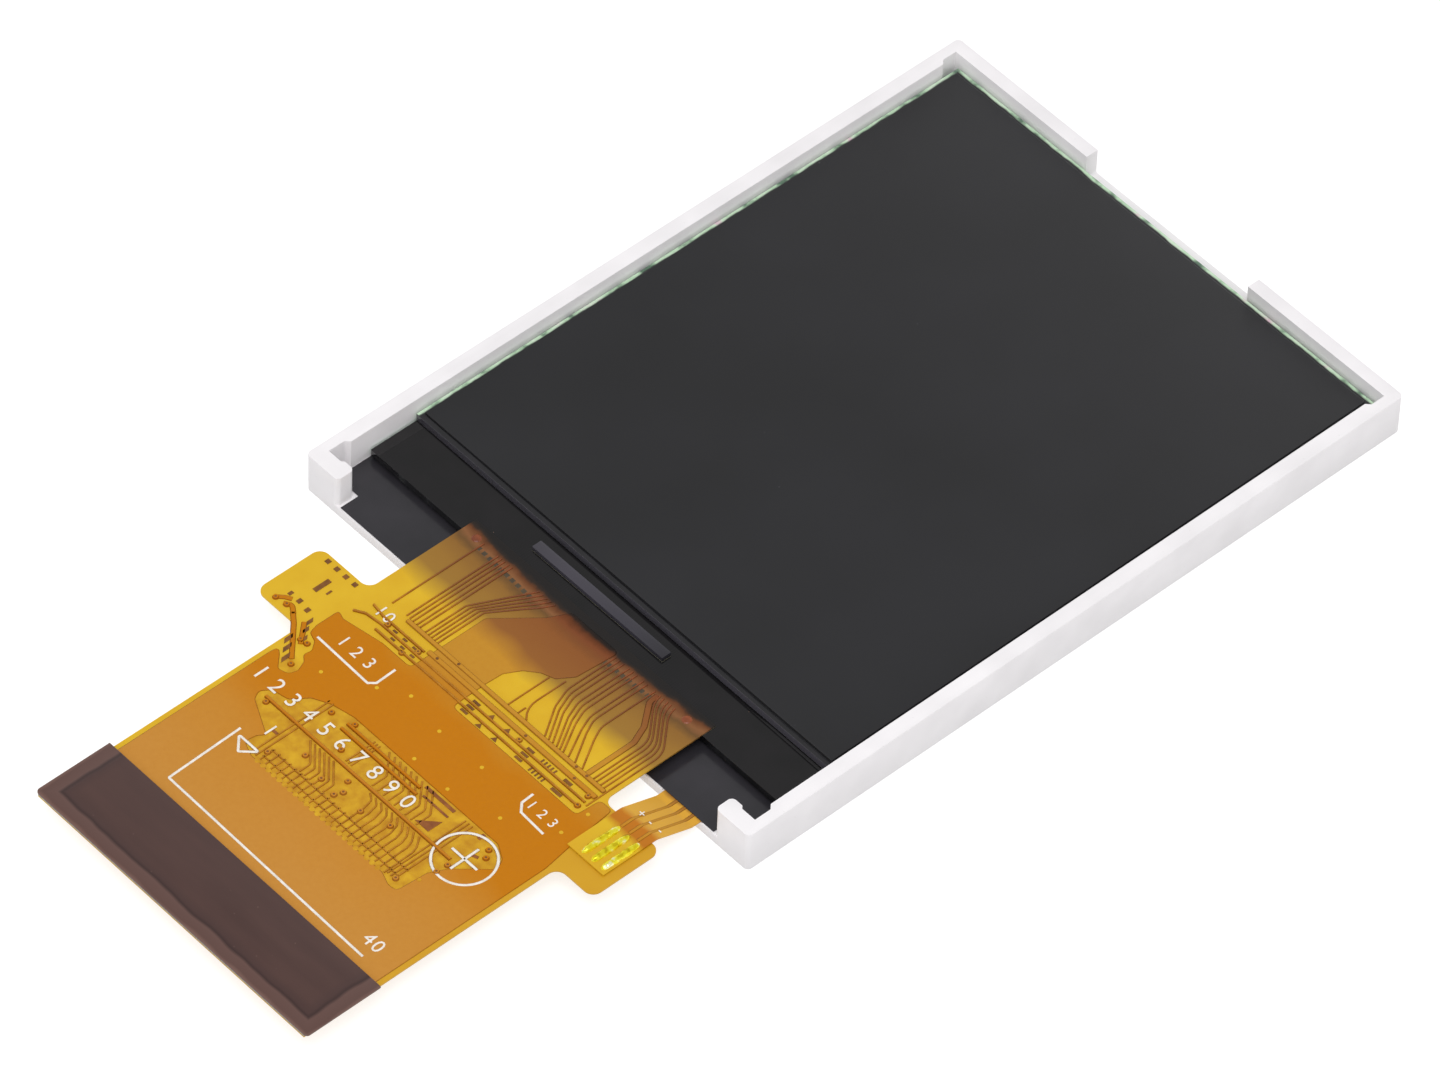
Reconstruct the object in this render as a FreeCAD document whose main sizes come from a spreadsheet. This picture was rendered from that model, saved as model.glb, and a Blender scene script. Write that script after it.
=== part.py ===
import FreeCAD, Part
import math
import os
import Sketcher
from FreeCAD import Vector

# A small TFT display module: a backlight in a moulded frame, a liquid crystal cell with its driver
# chip, and a flex circuit that ends in forty contacts.
# The origin is the centre of the frame's rear face. X runs across the display, Y runs away from the
# flex circuit, and Z runs up through the stack to the viewer. Lengths are millimetres.

# Driving dimensions
SIZES = {
    # Picture area and the borders round it, which set the frame's outline
    "active_width": 28.03,
    "active_length": 35.04,
    "side_border": 2.985,
    "near_border": 8.2,
    "far_border": 2.56,
    # Moulded frame
    "frame_height": 2.65,
    "side_wall": 0.9,
    "far_wall": 0.8,
    "corner_round": 0.3,
    "hook_reach": 2.5,
    "hook_depth": 1.15,
    "hook_land": 0.75,
    "hook_step": 0.15,
    "relief_depth": 0.25,
    "near_relief_run": 1.05,
    "far_relief_run": 0.9,
    "notch_width": 12.3,
    "notch_floor": 0.95,
    "notch_round": 0.15,
    "side_rail": 0.85,
    "far_rail": 0.7,
    "front_bar": 3.6,
    "recess_lap": 0.7,
    "recess_front_lap": 1.4,
    # Backlight
    "reflector_gap": 0.1,
    "reflector_thickness": 0.08,
    "guide_gap": 0.05,
    "guide_thickness": 0.38,
    "diffuser_thickness": 0.05,
    "prism_thickness": 0.045,
    "led_width": 3.8,
    "led_depth": 1.0,
    "led_height": 0.4,
    "led_spacing": 15.2,
    "led_gap": 0.1,
    "led_window_width": 3.2,
    "led_window_height": 0.26,
    "led_window_depth": 0.12,
    "led_flex_thickness": 0.08,
    "led_flex_setback": 1.1,
    "led_flex_end": 2.4,
    "led_flex_gap": 0.15,
    "led_tail_width": 2.7,
    "led_tail_edge_gap": 0.65,
    "led_tail_reach": 6.5,
    "led_tail_bend_start": 0.5,
    "led_tail_bend_end": 2.9,
    "led_tail_bend_round": 0.5,
    # Light shield tape
    "tape_thickness": 0.05,
    "tape_setback": 0.08,
    "tape_side_gap": 0.05,
    "tape_hook_gap": 0.15,
    "tape_margin": 0.4,
    # Liquid crystal cell
    "polarizer_side_margin": 0.35,
    "polarizer_far_margin": 0.45,
    "polarizer_front_margin": 0.3,
    "rear_polarizer_thickness": 0.15,
    "front_polarizer_thickness": 0.2,
    "glass_thickness": 0.5,
    "glass_gap": 0.15,
    "glass_setback": 3.5,
    "ledge_depth": 3.1,
    "cell_gap": 0.02,
    "seal_inset": 0.25,
    "seal_width": 0.8,
    "chip_length": 10.0,
    "chip_width": 0.62,
    "chip_thickness": 0.3,
    "chip_offset": -0.3,
    "chip_setback": 1.72,
    "bond_film_thickness": 0.02,
    # Main flex circuit
    "film_thickness": 0.05,
    "copper_thickness": 0.02,
    "top_coverlay_thickness": 0.03,
    "bottom_coverlay_thickness": 0.03,
    "flex_offset": 1.2,
    "flex_reach": 24.45,
    "flex_round": 0.6,
    "neck_offset": 0.5,
    "bond_depth": 0.9,
    "bond_clearance": 0.2,
    "left_tab_reach": 3.35,
    "left_tab_setback": 2.9,
    "left_tab_length": 4.4,
    "right_tab_reach": 2.6,
    "right_tab_setback": 3.2,
    "right_tab_length": 4.6,
    "copper_margin": 0.25,
    "strap_left": 5.4,
    "strap_width": 3.4,
    "strap_flare": 2.6,
    "strap_length": 3.0,
    "strap_shoulder": 0.6,
    "strap_heel": 1.6,
    "plane_setback": 4.8,
    "patch_setback": 9.1,
    "patch_length": 5.6,
    "patch_inset": 2.2,
    "patch_far_slope_run": 3.2,
    "patch_far_slope_rise": 1.8,
    "patch_near_slope_run": 2.3,
    "patch_near_slope_rise": 2.6,
    "track_width": 0.14,
    "neck_track_count": 11,
    "neck_track_gap": 0.3,
    "neck_track_over_glass": 3.2,
    "neck_track_bend": 0.3,
    "neck_track_shift": 1.6,
    "neck_track_end": 2.6,
    "cross_track_count": 3,
    "cross_track_pitch": 0.95,
    "cross_track_setback": 0.5,
    "fan_track_count": 26,
    "fan_track_length": 1.1,
    "track_clearance": 0.15,
    "lead_count": 40,
    "lead_pitch": 0.44,
    "lead_width": 0.24,
    "lead_side_margin": 0.5,
    "finger_count": 40,
    "finger_pitch": 0.5,
    "finger_width": 0.34,
    "finger_side_margin": 0.33,
    "finger_length": 3.4,
    "finger_setback": 0.1,
    "stiffener_overhang": 0.2,
    "stiffener_length": 4.85,
    "stiffener_thickness": 0.15,
    "stiffener_round": 0.25,
    "stiffener_adhesive": 0.03,
    # Solder joints of the backlight
    "land_count": 3,
    "land_pitch": 0.73,
    "land_offset": 0.3,
    "land_width": 0.5,
    "land_length": 2.6,
    "land_setback": 3.75,
    "land_opening": 0.06,
    "slot_width": 0.3,
    "slot_end_gap": 0.3,
    "bead_width": 0.46,
    "bead_height": 0.2,
    "bead_round": 0.16,
}

NAME_COLUMN = "A"
VALUE_COLUMN = "B"
TINY = 1e-4
TANGENT_OF_HALF_45 = math.sqrt(2) - 1

doc = FreeCAD.newDocument("DisplayModule")
sheet = doc.addObject("Spreadsheet::Sheet", "Sizes")
for row, (alias, number) in enumerate(SIZES.items(), 1):
    sheet.set(f"{NAME_COLUMN}{row}", alias)
    sheet.set(f"{VALUE_COLUMN}{row}", str(number))
    sheet.setAlias(f"{VALUE_COLUMN}{row}", alias)
doc.recompute()


class Size:
    """A size as an expression over the sheet, with the number that it gives."""

    def __init__(self, text, value):
        self.text = text
        self.value = value

    def __add__(self, other):
        other = as_size(other)
        return Size(f"({self.text} + {other.text})", self.value + other.value)

    def __sub__(self, other):
        other = as_size(other)
        return Size(f"({self.text} - {other.text})", self.value - other.value)

    def __mul__(self, factor):
        factor = as_size(factor)
        return Size(f"({self.text} * {factor.text})", self.value * factor.value)

    def __truediv__(self, divisor):
        divisor = as_size(divisor)
        return Size(f"({self.text} / {divisor.text})", self.value / divisor.value)

    def __neg__(self):
        return Size(f"(0 - {self.text})", -self.value)


def as_size(number):
    """A plain number as a size; a size stays as it is."""
    if isinstance(number, Size):
        return number
    return Size(repr(number), number)


class SizeSheet:
    """Reads the sheet by alias, so sizes.frame_width is that cell."""

    def __getattr__(self, alias):
        return Size(f"Sizes.{alias}", SIZES[alias])


sizes = SizeSheet()
ZERO = as_size(0)

# Faces across the module: half widths are measured from the middle
side_face = sizes.active_width / 2 + sizes.side_border
wall_face = side_face - sizes.side_wall
relief_face = wall_face + sizes.relief_depth
window_side = wall_face - sizes.side_rail
guide_side = window_side - sizes.guide_gap
glass_side = wall_face - sizes.glass_gap
polarizer_side = glass_side - sizes.polarizer_side_margin

# Faces along the module, from the flex circuit's side to the far wall
back_face = (sizes.near_border + sizes.active_length + sizes.far_border) / 2
front_face = -back_face
far_wall_face = back_face - sizes.far_wall
window_front = front_face + sizes.front_bar
window_far = far_wall_face - sizes.far_rail
guide_front = window_front + sizes.guide_gap
guide_far = window_far - sizes.guide_gap
glass_front = front_face + sizes.glass_setback
glass_far = far_wall_face - sizes.glass_gap
filter_front = glass_front + sizes.ledge_depth
polarizer_front = filter_front + sizes.polarizer_front_margin
polarizer_far = glass_far - sizes.polarizer_far_margin
led_back = guide_front - sizes.led_gap
led_front = led_back - sizes.led_depth

# Levels of the stack, from the frame's rear face up
guide_level = sizes.reflector_thickness
diffuser_level = guide_level + sizes.guide_thickness
lower_prism_level = diffuser_level + sizes.diffuser_thickness
upper_prism_level = lower_prism_level + sizes.prism_thickness
shelf_level = upper_prism_level + sizes.prism_thickness
led_flex_level = shelf_level - sizes.led_flex_thickness
tape_top = shelf_level + sizes.tape_thickness
array_level = tape_top + sizes.rear_polarizer_thickness
ledge_level = array_level + sizes.glass_thickness
filter_level = ledge_level + sizes.cell_gap
filter_top = filter_level + sizes.glass_thickness
lead_level = ledge_level + sizes.bond_film_thickness
film_level = lead_level + sizes.copper_thickness
copper_level = film_level + sizes.film_thickness
coverlay_level = copper_level + sizes.copper_thickness
flex_top = coverlay_level + sizes.top_coverlay_thickness
stiffener_level = flex_top + sizes.stiffener_adhesive

# Outline of the main flex circuit, as wide as its row of contacts, with a neck as wide as its leads
finger_span = sizes.finger_pitch * (sizes.finger_count - 1) + sizes.finger_width
flex_side = finger_span / 2 + sizes.finger_side_margin
flex_left = sizes.flex_offset - flex_side
flex_right = sizes.flex_offset + flex_side
flex_end = front_face - sizes.flex_reach
lead_span = sizes.lead_pitch * (sizes.lead_count - 1) + sizes.lead_width
neck_side = lead_span / 2 + sizes.lead_side_margin
neck_left = sizes.neck_offset - neck_side
neck_right = sizes.neck_offset + neck_side
bond_end = glass_front + sizes.bond_depth
left_tab_far = front_face - sizes.left_tab_setback
left_tab_near = left_tab_far - sizes.left_tab_length
left_tab_side = flex_left - sizes.left_tab_reach
right_tab_far = front_face - sizes.right_tab_setback
right_tab_near = right_tab_far - sizes.right_tab_length
right_tab_side = flex_right + sizes.right_tab_reach
contact_end = flex_end + sizes.finger_setback
contact_start = contact_end + sizes.finger_length
stiffener_start = flex_end + sizes.stiffener_length

# Tail of the backlight's flex circuit and the lands that it is soldered to
led_tail_right = right_tab_side - sizes.led_tail_edge_gap
led_tail_left = led_tail_right - sizes.led_tail_width
led_tail_end = front_face - sizes.led_tail_reach
led_tail_top = flex_top + sizes.led_flex_thickness
land_middle = (led_tail_left + led_tail_right) / 2 + sizes.land_offset
land_far = front_face - sizes.land_setback
land_near = land_far - sizes.land_length

# Strap of copper down the neck, and the patch without copper where the tracks fan out
strap_left = neck_left + sizes.strap_left
strap_right = strap_left + sizes.strap_width
patch_left = flex_left + sizes.patch_inset
patch_right = flex_right - sizes.patch_inset
patch_far = front_face - sizes.patch_setback
patch_near = patch_far - sizes.patch_length

FLEX_OUTLINE = (
    (neck_left, bond_end),
    (neck_left, left_tab_far),
    (left_tab_side, left_tab_far),
    (left_tab_side, left_tab_near),
    (flex_left, left_tab_near),
    (flex_left, flex_end),
    (flex_right, flex_end),
    (flex_right, right_tab_near),
    (right_tab_side, right_tab_near),
    (right_tab_side, right_tab_far),
    (neck_right, right_tab_far),
    (neck_right, bond_end),
)
FLEX_ROUNDS = dict.fromkeys((1, 2, 3, 4, 7, 8, 9, 10), sizes.flex_round)

subparts = []


def bind(thing, name, size):
    """Tie a property to the sheet."""
    thing.setExpression(name, size.text)


def new_body(label, level=ZERO):
    """An empty body that stands at a level of the stack."""
    body = doc.addObject("PartDesign::Body", label)
    body.Label = label
    bind(body, "Placement.Base.z", level)
    return body


def new_sketch(body, name, role="XY_Plane", offset=ZERO):
    """A sketch on one of the body's own origin planes."""
    sketch = body.newObject("Sketcher::SketchObject", name)
    plane = next(plane for plane in body.Origin.OriginFeatures if plane.Role == role)
    sketch.AttachmentSupport = [(plane, "")]
    sketch.MapMode = "FlatFace"
    bind(sketch, "AttachmentOffset.Base.z", offset)
    return sketch


def dimension(sketch, kind, place, size):
    """A dimension driven by the sheet, from the sketch's origin or along a line."""
    index = sketch.addConstraint(Sketcher.Constraint(kind, *place, size.value))
    bind(sketch, f"Constraints[{index}]", size)


def corner_arc(before, corner, after, radius):
    """The arc that rounds a corner, where it meets the two sides, and whether it turns left."""
    arriving = (before - corner).normalize()
    leaving = (after - corner).normalize()
    half_angle = arriving.getAngle(leaving) / 2
    run = radius / math.tan(half_angle)
    start = corner + arriving * run
    end = corner + leaving * run
    middle = corner + (arriving + leaving).normalize() * (radius / math.sin(half_angle))
    turns_left = arriving.cross(leaving).z < 0
    first, last = (start, end) if turns_left else (end, start)
    angles = [math.atan2(point.y - middle.y, point.x - middle.x) for point in (first, last)]
    circle = Part.Circle(middle, Vector(0, 0, 1), radius)
    return Part.ArcOfCircle(circle, angles[0], angles[1]), start, end, turns_left


def draw_outline(sketch, corners, rounds=None):
    """A closed outline with each corner dimensioned from the sketch's origin.

    rounds gives a radius for each numbered corner that becomes an arc tangent to its two sides.
    The dimensions stay on the corner itself.
    """
    count = len(corners)
    points = [Vector(x.value, y.value, 0) for x, y in corners]
    rounds = rounds or {}
    arcs = {
        i: corner_arc(points[i - 1], points[i], points[(i + 1) % count], radius.value)
        for i, radius in rounds.items()
    }
    arrivals = [arcs[i][1] if i in arcs else points[i] for i in range(count)]
    departures = [arcs[i][2] if i in arcs else points[i] for i in range(count)]
    first = sketch.GeometryCount
    lines = [Part.LineSegment(departures[i], arrivals[(i + 1) % count]) for i in range(count)]
    sketch.addGeometry(lines, False)
    for i, (x, y) in enumerate(corners):
        before = first + (i - 1) % count
        after = first + i
        vertex = after
        if i in arcs:
            arc_shape, _, _, turns_left = arcs[i]
            arc = sketch.addGeometry(arc_shape, False)
            vertex = sketch.addGeometry(Part.Point(points[i]), True)
            arc_start, arc_end = (1, 2) if turns_left else (2, 1)
            sketch.addConstraint([
                Sketcher.Constraint("Tangent", before, 2, arc, arc_start),
                Sketcher.Constraint("Tangent", arc, arc_end, after, 1),
                Sketcher.Constraint("PointOnObject", vertex, 1, before),
                Sketcher.Constraint("PointOnObject", vertex, 1, after),
            ])
            dimension(sketch, "Radius", (arc,), rounds[i])
        else:
            sketch.addConstraint(Sketcher.Constraint("Coincident", before, 2, after, 1))
        dimension(sketch, "DistanceX", (-1, 1, vertex, 1), x)
        dimension(sketch, "DistanceY", (-1, 1, vertex, 1), y)


def half_slope_tangent(rise, run):
    """Tangent of half the angle of a slope, which mitres the two faces of a bent strip."""
    value = math.tan(math.atan(rise.value / run.value) / 2)
    return Size(f"tan(atan({rise.text} / {run.text}) / 2)", value)


def rectangle(left, right, near, far):
    """Corners of a rectangle between four faces."""
    return ((left, near), (right, near), (right, far), (left, far))


def mirrored(corners):
    """The same corners on the other side of the module, in reverse order."""
    return tuple((-x, y) for x, y in reversed(corners))


def add_pad(body, sketch, name, height):
    """Material from the sketch upwards along its normal."""
    pad = body.newObject("PartDesign::Pad", name)
    pad.Profile = sketch
    bind(pad, "Length", height)
    return pad


def add_pocket(body, sketch, name, depth, along_normal=False):
    """A cut from the sketch against its normal, or along it."""
    doc.recompute()
    before = body.Shape.Volume
    pocket = body.newObject("PartDesign::Pocket", name)
    pocket.Profile = sketch
    pocket.Reversed = along_normal
    bind(pocket, "Length", depth)
    doc.recompute()
    if body.Shape.Volume >= before:
        raise RuntimeError(f"{name} cuts nothing")
    return pocket


def add_pattern(body, feature, sketch, name, count, pitch, axis="H_Axis"):
    """Copies of a feature along an axis of its sketch."""
    pattern = body.newObject("PartDesign::LinearPattern", name)
    pattern.Originals = [feature]
    pattern.Direction = (sketch, [axis])
    bind(pattern, "Length", pitch * (count - 1))
    bind(pattern, "Occurrences", count)
    body.Tip = pattern
    return pattern


def edges_along(shape, axis, places):
    """Names of the straight edges along an axis whose other two coordinates are at the places."""
    across = [i for i in range(3) if i != axis]
    names = []
    for number, edge in enumerate(shape.Edges, 1):
        ends = [vertex.Point for vertex in edge.Vertexes]
        if len(ends) != 2 or abs(ends[0][axis] - ends[1][axis]) < TINY:
            continue
        for place in places:
            misses = [abs(end[i] - at.value) for end in ends for i, at in zip(across, place)]
            if max(misses) < TINY:
                names.append(f"Edge{number}")
    return names


def add_fillet(body, name, axis, places, radius):
    """Round the straight edges along an axis that pass through the places."""
    doc.recompute()
    solid = body.Tip
    names = edges_along(solid.Shape, axis, places)
    if len(names) < len(places):
        raise RuntimeError(f"{name} finds {len(names)} of {len(places)} edges")
    fillet = body.newObject("PartDesign::Fillet", name)
    fillet.Base = (solid, names)
    bind(fillet, "Radius", radius)
    return fillet


def plate(label, faces, level, thickness):
    """A plain rectangular plate between four faces, at a level of the stack."""
    left, right, near, far = faces
    box = doc.addObject("Part::Box", label)
    box.Label = label
    bind(box, "Length", right - left)
    bind(box, "Width", far - near)
    bind(box, "Height", thickness)
    bind(box, "Placement.Base.x", left)
    bind(box, "Placement.Base.y", near)
    bind(box, "Placement.Base.z", level)
    subparts.append(box)
    return box


def land_positions():
    """Middle of each solder land across the module."""
    count = SIZES["land_count"]
    steps = [(2 * number - count + 1) / 2 for number in range(count)]
    return [land_middle + sizes.land_pitch * step for step in steps]


# Moulded frame
def backlight_frame():
    body = new_body("backlight_frame")
    hook_tip = side_face - sizes.hook_reach
    hook_back = front_face + sizes.hook_depth
    step_near = hook_tip + sizes.hook_land
    step_far = step_near + sizes.hook_step
    relief_near = hook_back - sizes.hook_step
    near_ramp = relief_near + sizes.near_relief_run
    far_ramp = far_wall_face - sizes.far_relief_run

    base = new_sketch(body, "frame_base_outline")
    corner_rounds = dict.fromkeys(range(4), sizes.corner_round)
    draw_outline(base, rectangle(-side_face, side_face, front_face, back_face), corner_rounds)
    draw_outline(base, rectangle(-window_side, window_side, window_front, window_far))
    add_pad(body, base, "frame_base", shelf_level)

    outer_right = (
        (hook_tip, front_face),
        (side_face, front_face),
        (side_face, back_face),
    )
    inner_right = (
        (relief_face, far_wall_face),
        (relief_face, far_ramp),
        (wall_face, far_ramp - sizes.relief_depth),
        (wall_face, near_ramp + sizes.relief_depth),
        (relief_face, near_ramp),
        (relief_face, relief_near),
        (step_far, relief_near),
        (step_near, hook_back),
        (hook_tip, hook_back),
    )
    wall_corners = outer_right + mirrored(outer_right) + mirrored(inner_right) + inner_right
    first_inner = len(outer_right) * 2
    last_inner = len(wall_corners) - 1
    wall_rounds = dict.fromkeys((*range(first_inner + 1), last_inner), sizes.corner_round)
    walls = new_sketch(body, "frame_wall_outline", offset=shelf_level)
    draw_outline(walls, wall_corners, wall_rounds)
    add_pad(body, walls, "frame_walls", sizes.frame_height - shelf_level)

    notch_side = sizes.notch_width / 2
    notch_faces = (-notch_side, notch_side, sizes.notch_floor, sizes.frame_height)
    notch = new_sketch(body, "far_notch_profile", "XZ_Plane", -back_face)
    draw_outline(notch, rectangle(*notch_faces), dict.fromkeys((0, 1), sizes.notch_round))
    add_pocket(body, notch, "far_notch", sizes.far_wall, along_normal=True)

    recess_side = window_side + sizes.recess_lap
    recess_front = window_front - sizes.recess_front_lap
    recess_far = window_far + sizes.recess_lap
    recess = new_sketch(body, "reflector_recess_outline")
    draw_outline(recess, rectangle(-recess_side, recess_side, recess_front, recess_far))
    add_pocket(body, recess, "reflector_recess", sizes.reflector_thickness, along_normal=True)

    seat_left = -(sizes.led_spacing / 2 + sizes.led_width / 2 + sizes.led_flex_end)
    seat_left = seat_left - sizes.led_flex_gap
    seat_front = front_face + sizes.led_flex_setback - sizes.led_flex_gap
    channel_left = led_tail_left - sizes.led_flex_gap
    channel_right = led_tail_right + sizes.led_flex_gap
    seat = new_sketch(body, "backlight_flex_seat_outline", offset=shelf_level)
    draw_outline(seat, (
        (seat_left, seat_front),
        (channel_left, seat_front),
        (channel_left, front_face),
        (channel_right, front_face),
        (channel_right, window_front),
        (seat_left, window_front),
    ))
    add_pocket(body, seat, "backlight_flex_seat", sizes.led_flex_thickness)

    pockets = new_sketch(body, "led_pocket_outlines", offset=shelf_level)
    pocket_side = sizes.led_width / 2 + sizes.led_gap
    for way in (-1, 1):
        middle = sizes.led_spacing * way / 2
        faces = (middle - pocket_side, middle + pocket_side, led_front - sizes.led_gap, window_front)
        draw_outline(pockets, rectangle(*faces))
    add_pocket(body, pockets, "led_pockets", shelf_level)
    subparts.append(body)


# Backlight sheets, from the rear up
def backlight_sheets():
    reach = sizes.recess_lap - sizes.reflector_gap
    reflector_faces = (
        -(window_side + reach),
        window_side + reach,
        window_front - sizes.recess_front_lap + sizes.reflector_gap,
        window_far + reach,
    )
    plate("reflector_sheet", reflector_faces, ZERO, sizes.reflector_thickness)
    window_faces = (-guide_side, guide_side, guide_front, guide_far)
    plate("light_guide_plate", window_faces, guide_level, sizes.guide_thickness)
    plate("diffuser_sheet", window_faces, diffuser_level, sizes.diffuser_thickness)
    plate("lower_prism_sheet", window_faces, lower_prism_level, sizes.prism_thickness)
    plate("upper_prism_sheet", window_faces, upper_prism_level, sizes.prism_thickness)


# Side-emitting lamp with a shallow window over its phosphor
def led(number, middle):
    body = new_body(f"led_{number}", led_flex_level - sizes.led_height)
    side = sizes.led_width / 2
    case = new_sketch(body, f"led_{number}_outline")
    draw_outline(case, rectangle(middle - side, middle + side, led_front, led_back))
    add_pad(body, case, f"led_{number}_case", sizes.led_height)
    window_half = sizes.led_window_width / 2
    window_rise = (sizes.led_height - sizes.led_window_height) / 2
    window = new_sketch(body, f"led_{number}_window_outline", "XZ_Plane", -led_back)
    window_top = sizes.led_height - window_rise
    draw_outline(window, rectangle(middle - window_half, middle + window_half, window_rise, window_top))
    add_pocket(body, window, f"led_{number}_window", sizes.led_window_depth, along_normal=True)
    subparts.append(body)


# Flex circuit of the backlight: a strip over the lamps, and a tail that steps up to the main flex
def backlight_flex():
    body = new_body("backlight_flex", led_flex_level)
    thickness = sizes.led_flex_thickness
    strip_left = -(sizes.led_spacing / 2 + sizes.led_width / 2 + sizes.led_flex_end)
    strip_front = front_face + sizes.led_flex_setback
    strip_far = guide_front - sizes.led_flex_gap
    strip = new_sketch(body, "backlight_strip_outline")
    draw_outline(strip, rectangle(strip_left, led_tail_right, strip_front, strip_far))
    add_pad(body, strip, "backlight_strip", thickness)

    rise = flex_top - led_flex_level
    bend_start = front_face - sizes.led_tail_bend_start
    bend_end = front_face - sizes.led_tail_bend_end
    shift = thickness * half_slope_tangent(rise, bend_start - bend_end)
    inner_round = sizes.led_tail_bend_round
    outer_round = inner_round + thickness
    profile = (
        (strip_front, ZERO),
        (bend_start, ZERO),
        (bend_end, rise),
        (led_tail_end, rise),
        (led_tail_end, rise + thickness),
        (bend_end + shift, rise + thickness),
        (bend_start + shift, thickness),
        (strip_front, thickness),
    )
    bends = {1: outer_round, 2: inner_round, 5: outer_round, 6: inner_round}
    tail = new_sketch(body, "backlight_tail_profile", "YZ_Plane", led_tail_left)
    draw_outline(tail, profile, bends)
    add_pad(body, tail, "backlight_tail", sizes.led_tail_width)

    slots = new_sketch(body, "tail_slot_outlines", offset=rise + thickness)
    slot_side = sizes.slot_width / 2
    for middle in land_positions():
        slot_near = land_near + sizes.slot_end_gap
        slot_far = land_far - sizes.slot_end_gap
        draw_outline(slots, rectangle(middle - slot_side, middle + slot_side, slot_near, slot_far))
    add_pocket(body, slots, "tail_slots", thickness)
    subparts.append(body)


# Black tape on the frame's shelf, with a window a little larger than the picture
def light_shield_tape():
    body = new_body("light_shield_tape", shelf_level)
    tape_side = wall_face - sizes.tape_side_gap
    tape_front = front_face + sizes.tape_setback
    tape_far = far_wall_face - sizes.tape_side_gap
    tongue_side = side_face - sizes.hook_reach - sizes.tape_hook_gap
    shoulder = front_face + sizes.hook_depth + sizes.tape_hook_gap
    opening_side = sizes.active_width / 2 + sizes.tape_margin
    opening_near = front_face + sizes.near_border - sizes.tape_margin
    opening_far = opening_near + sizes.active_length + sizes.tape_margin * 2
    right = (
        (tongue_side, tape_front),
        (tongue_side, shoulder),
        (tape_side, shoulder),
        (tape_side, tape_far),
    )
    tape = new_sketch(body, "tape_outline")
    draw_outline(tape, right + mirrored(right))
    draw_outline(tape, rectangle(-opening_side, opening_side, opening_near, opening_far))
    add_pad(body, tape, "tape", sizes.tape_thickness)
    subparts.append(body)


# Liquid crystal cell with its polarizers, driver chip and chip bond
def display_cell():
    rear_front = glass_front + sizes.polarizer_front_margin
    rear_faces = (-polarizer_side, polarizer_side, rear_front, polarizer_far)
    plate("rear_polarizer", rear_faces, tape_top, sizes.rear_polarizer_thickness)
    array_faces = (-glass_side, glass_side, glass_front, glass_far)
    plate("array_glass", array_faces, array_level, sizes.glass_thickness)
    filter_faces = (-glass_side, glass_side, filter_front, glass_far)
    plate("colour_filter_glass", filter_faces, filter_level, sizes.glass_thickness)
    front_faces = (-polarizer_side, polarizer_side, polarizer_front, polarizer_far)
    plate("front_polarizer", front_faces, filter_top, sizes.front_polarizer_thickness)

    outer = (
        -(glass_side - sizes.seal_inset),
        glass_side - sizes.seal_inset,
        filter_front + sizes.seal_inset,
        glass_far - sizes.seal_inset,
    )
    inner = (
        outer[0] + sizes.seal_width,
        outer[1] - sizes.seal_width,
        outer[2] + sizes.seal_width,
        outer[3] - sizes.seal_width,
    )
    body = new_body("cell_seal", ledge_level)
    seal = new_sketch(body, "seal_outline")
    draw_outline(seal, rectangle(*outer))
    draw_outline(seal, rectangle(*inner))
    add_pad(body, seal, "seal", sizes.cell_gap)
    subparts.append(body)
    plate("liquid_crystal_layer", inner, ledge_level, sizes.cell_gap)

    chip_left = sizes.chip_offset - sizes.chip_length / 2
    chip_front = glass_front + sizes.chip_setback
    chip_faces = (chip_left, chip_left + sizes.chip_length, chip_front, chip_front + sizes.chip_width)
    plate("chip_bond_film", chip_faces, ledge_level, sizes.bond_film_thickness)
    plate("driver_chip", chip_faces, lead_level, sizes.chip_thickness)


# Main flex circuit
def flex_layer(label, outline, level, thickness):
    """A film with the flex circuit's outline and rounded tabs."""
    body = new_body(label, level)
    sketch = new_sketch(body, f"{label}_outline")
    draw_outline(sketch, outline, FLEX_ROUNDS)
    add_pad(body, sketch, f"{label}_film", thickness)
    return body


def flex_ground_plane():
    """The copper pour under the top coverlay, with the opening where the tracks fan out."""
    margin = sizes.copper_margin
    left = flex_left + margin
    right = flex_right - margin
    near = flex_end + margin
    plane_far = front_face - sizes.plane_setback
    outline = (
        (strap_left, front_face),
        (strap_left + sizes.strap_flare, front_face + sizes.strap_length),
        (strap_right + sizes.strap_flare, front_face + sizes.strap_length),
        (strap_right + sizes.strap_flare, front_face + sizes.strap_shoulder),
        (strap_right, front_face - sizes.strap_heel),
        (strap_right, plane_far),
        (right, plane_far),
        (right, near),
        (left, near),
        (left, left_tab_near - sizes.flex_round),
        (left + sizes.flex_round, left_tab_near),
        (left + sizes.flex_round, plane_far),
        (strap_left, plane_far),
    )
    patch = (
        (patch_left + sizes.patch_near_slope_run, patch_near),
        (patch_right - sizes.patch_near_slope_run, patch_near),
        (patch_right, patch_near + sizes.patch_near_slope_rise),
        (patch_right, patch_far),
        (patch_left + sizes.patch_far_slope_run, patch_far),
        (patch_left, patch_far - sizes.patch_far_slope_rise),
        (patch_left, patch_near + sizes.patch_near_slope_rise),
    )
    body = new_body("flex_ground_plane", copper_level)
    sketch = new_sketch(body, "ground_plane_outline")
    draw_outline(sketch, outline)
    draw_outline(sketch, patch)
    add_pad(body, sketch, "ground_plane", sizes.copper_thickness)
    subparts.append(body)
    return body


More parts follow.
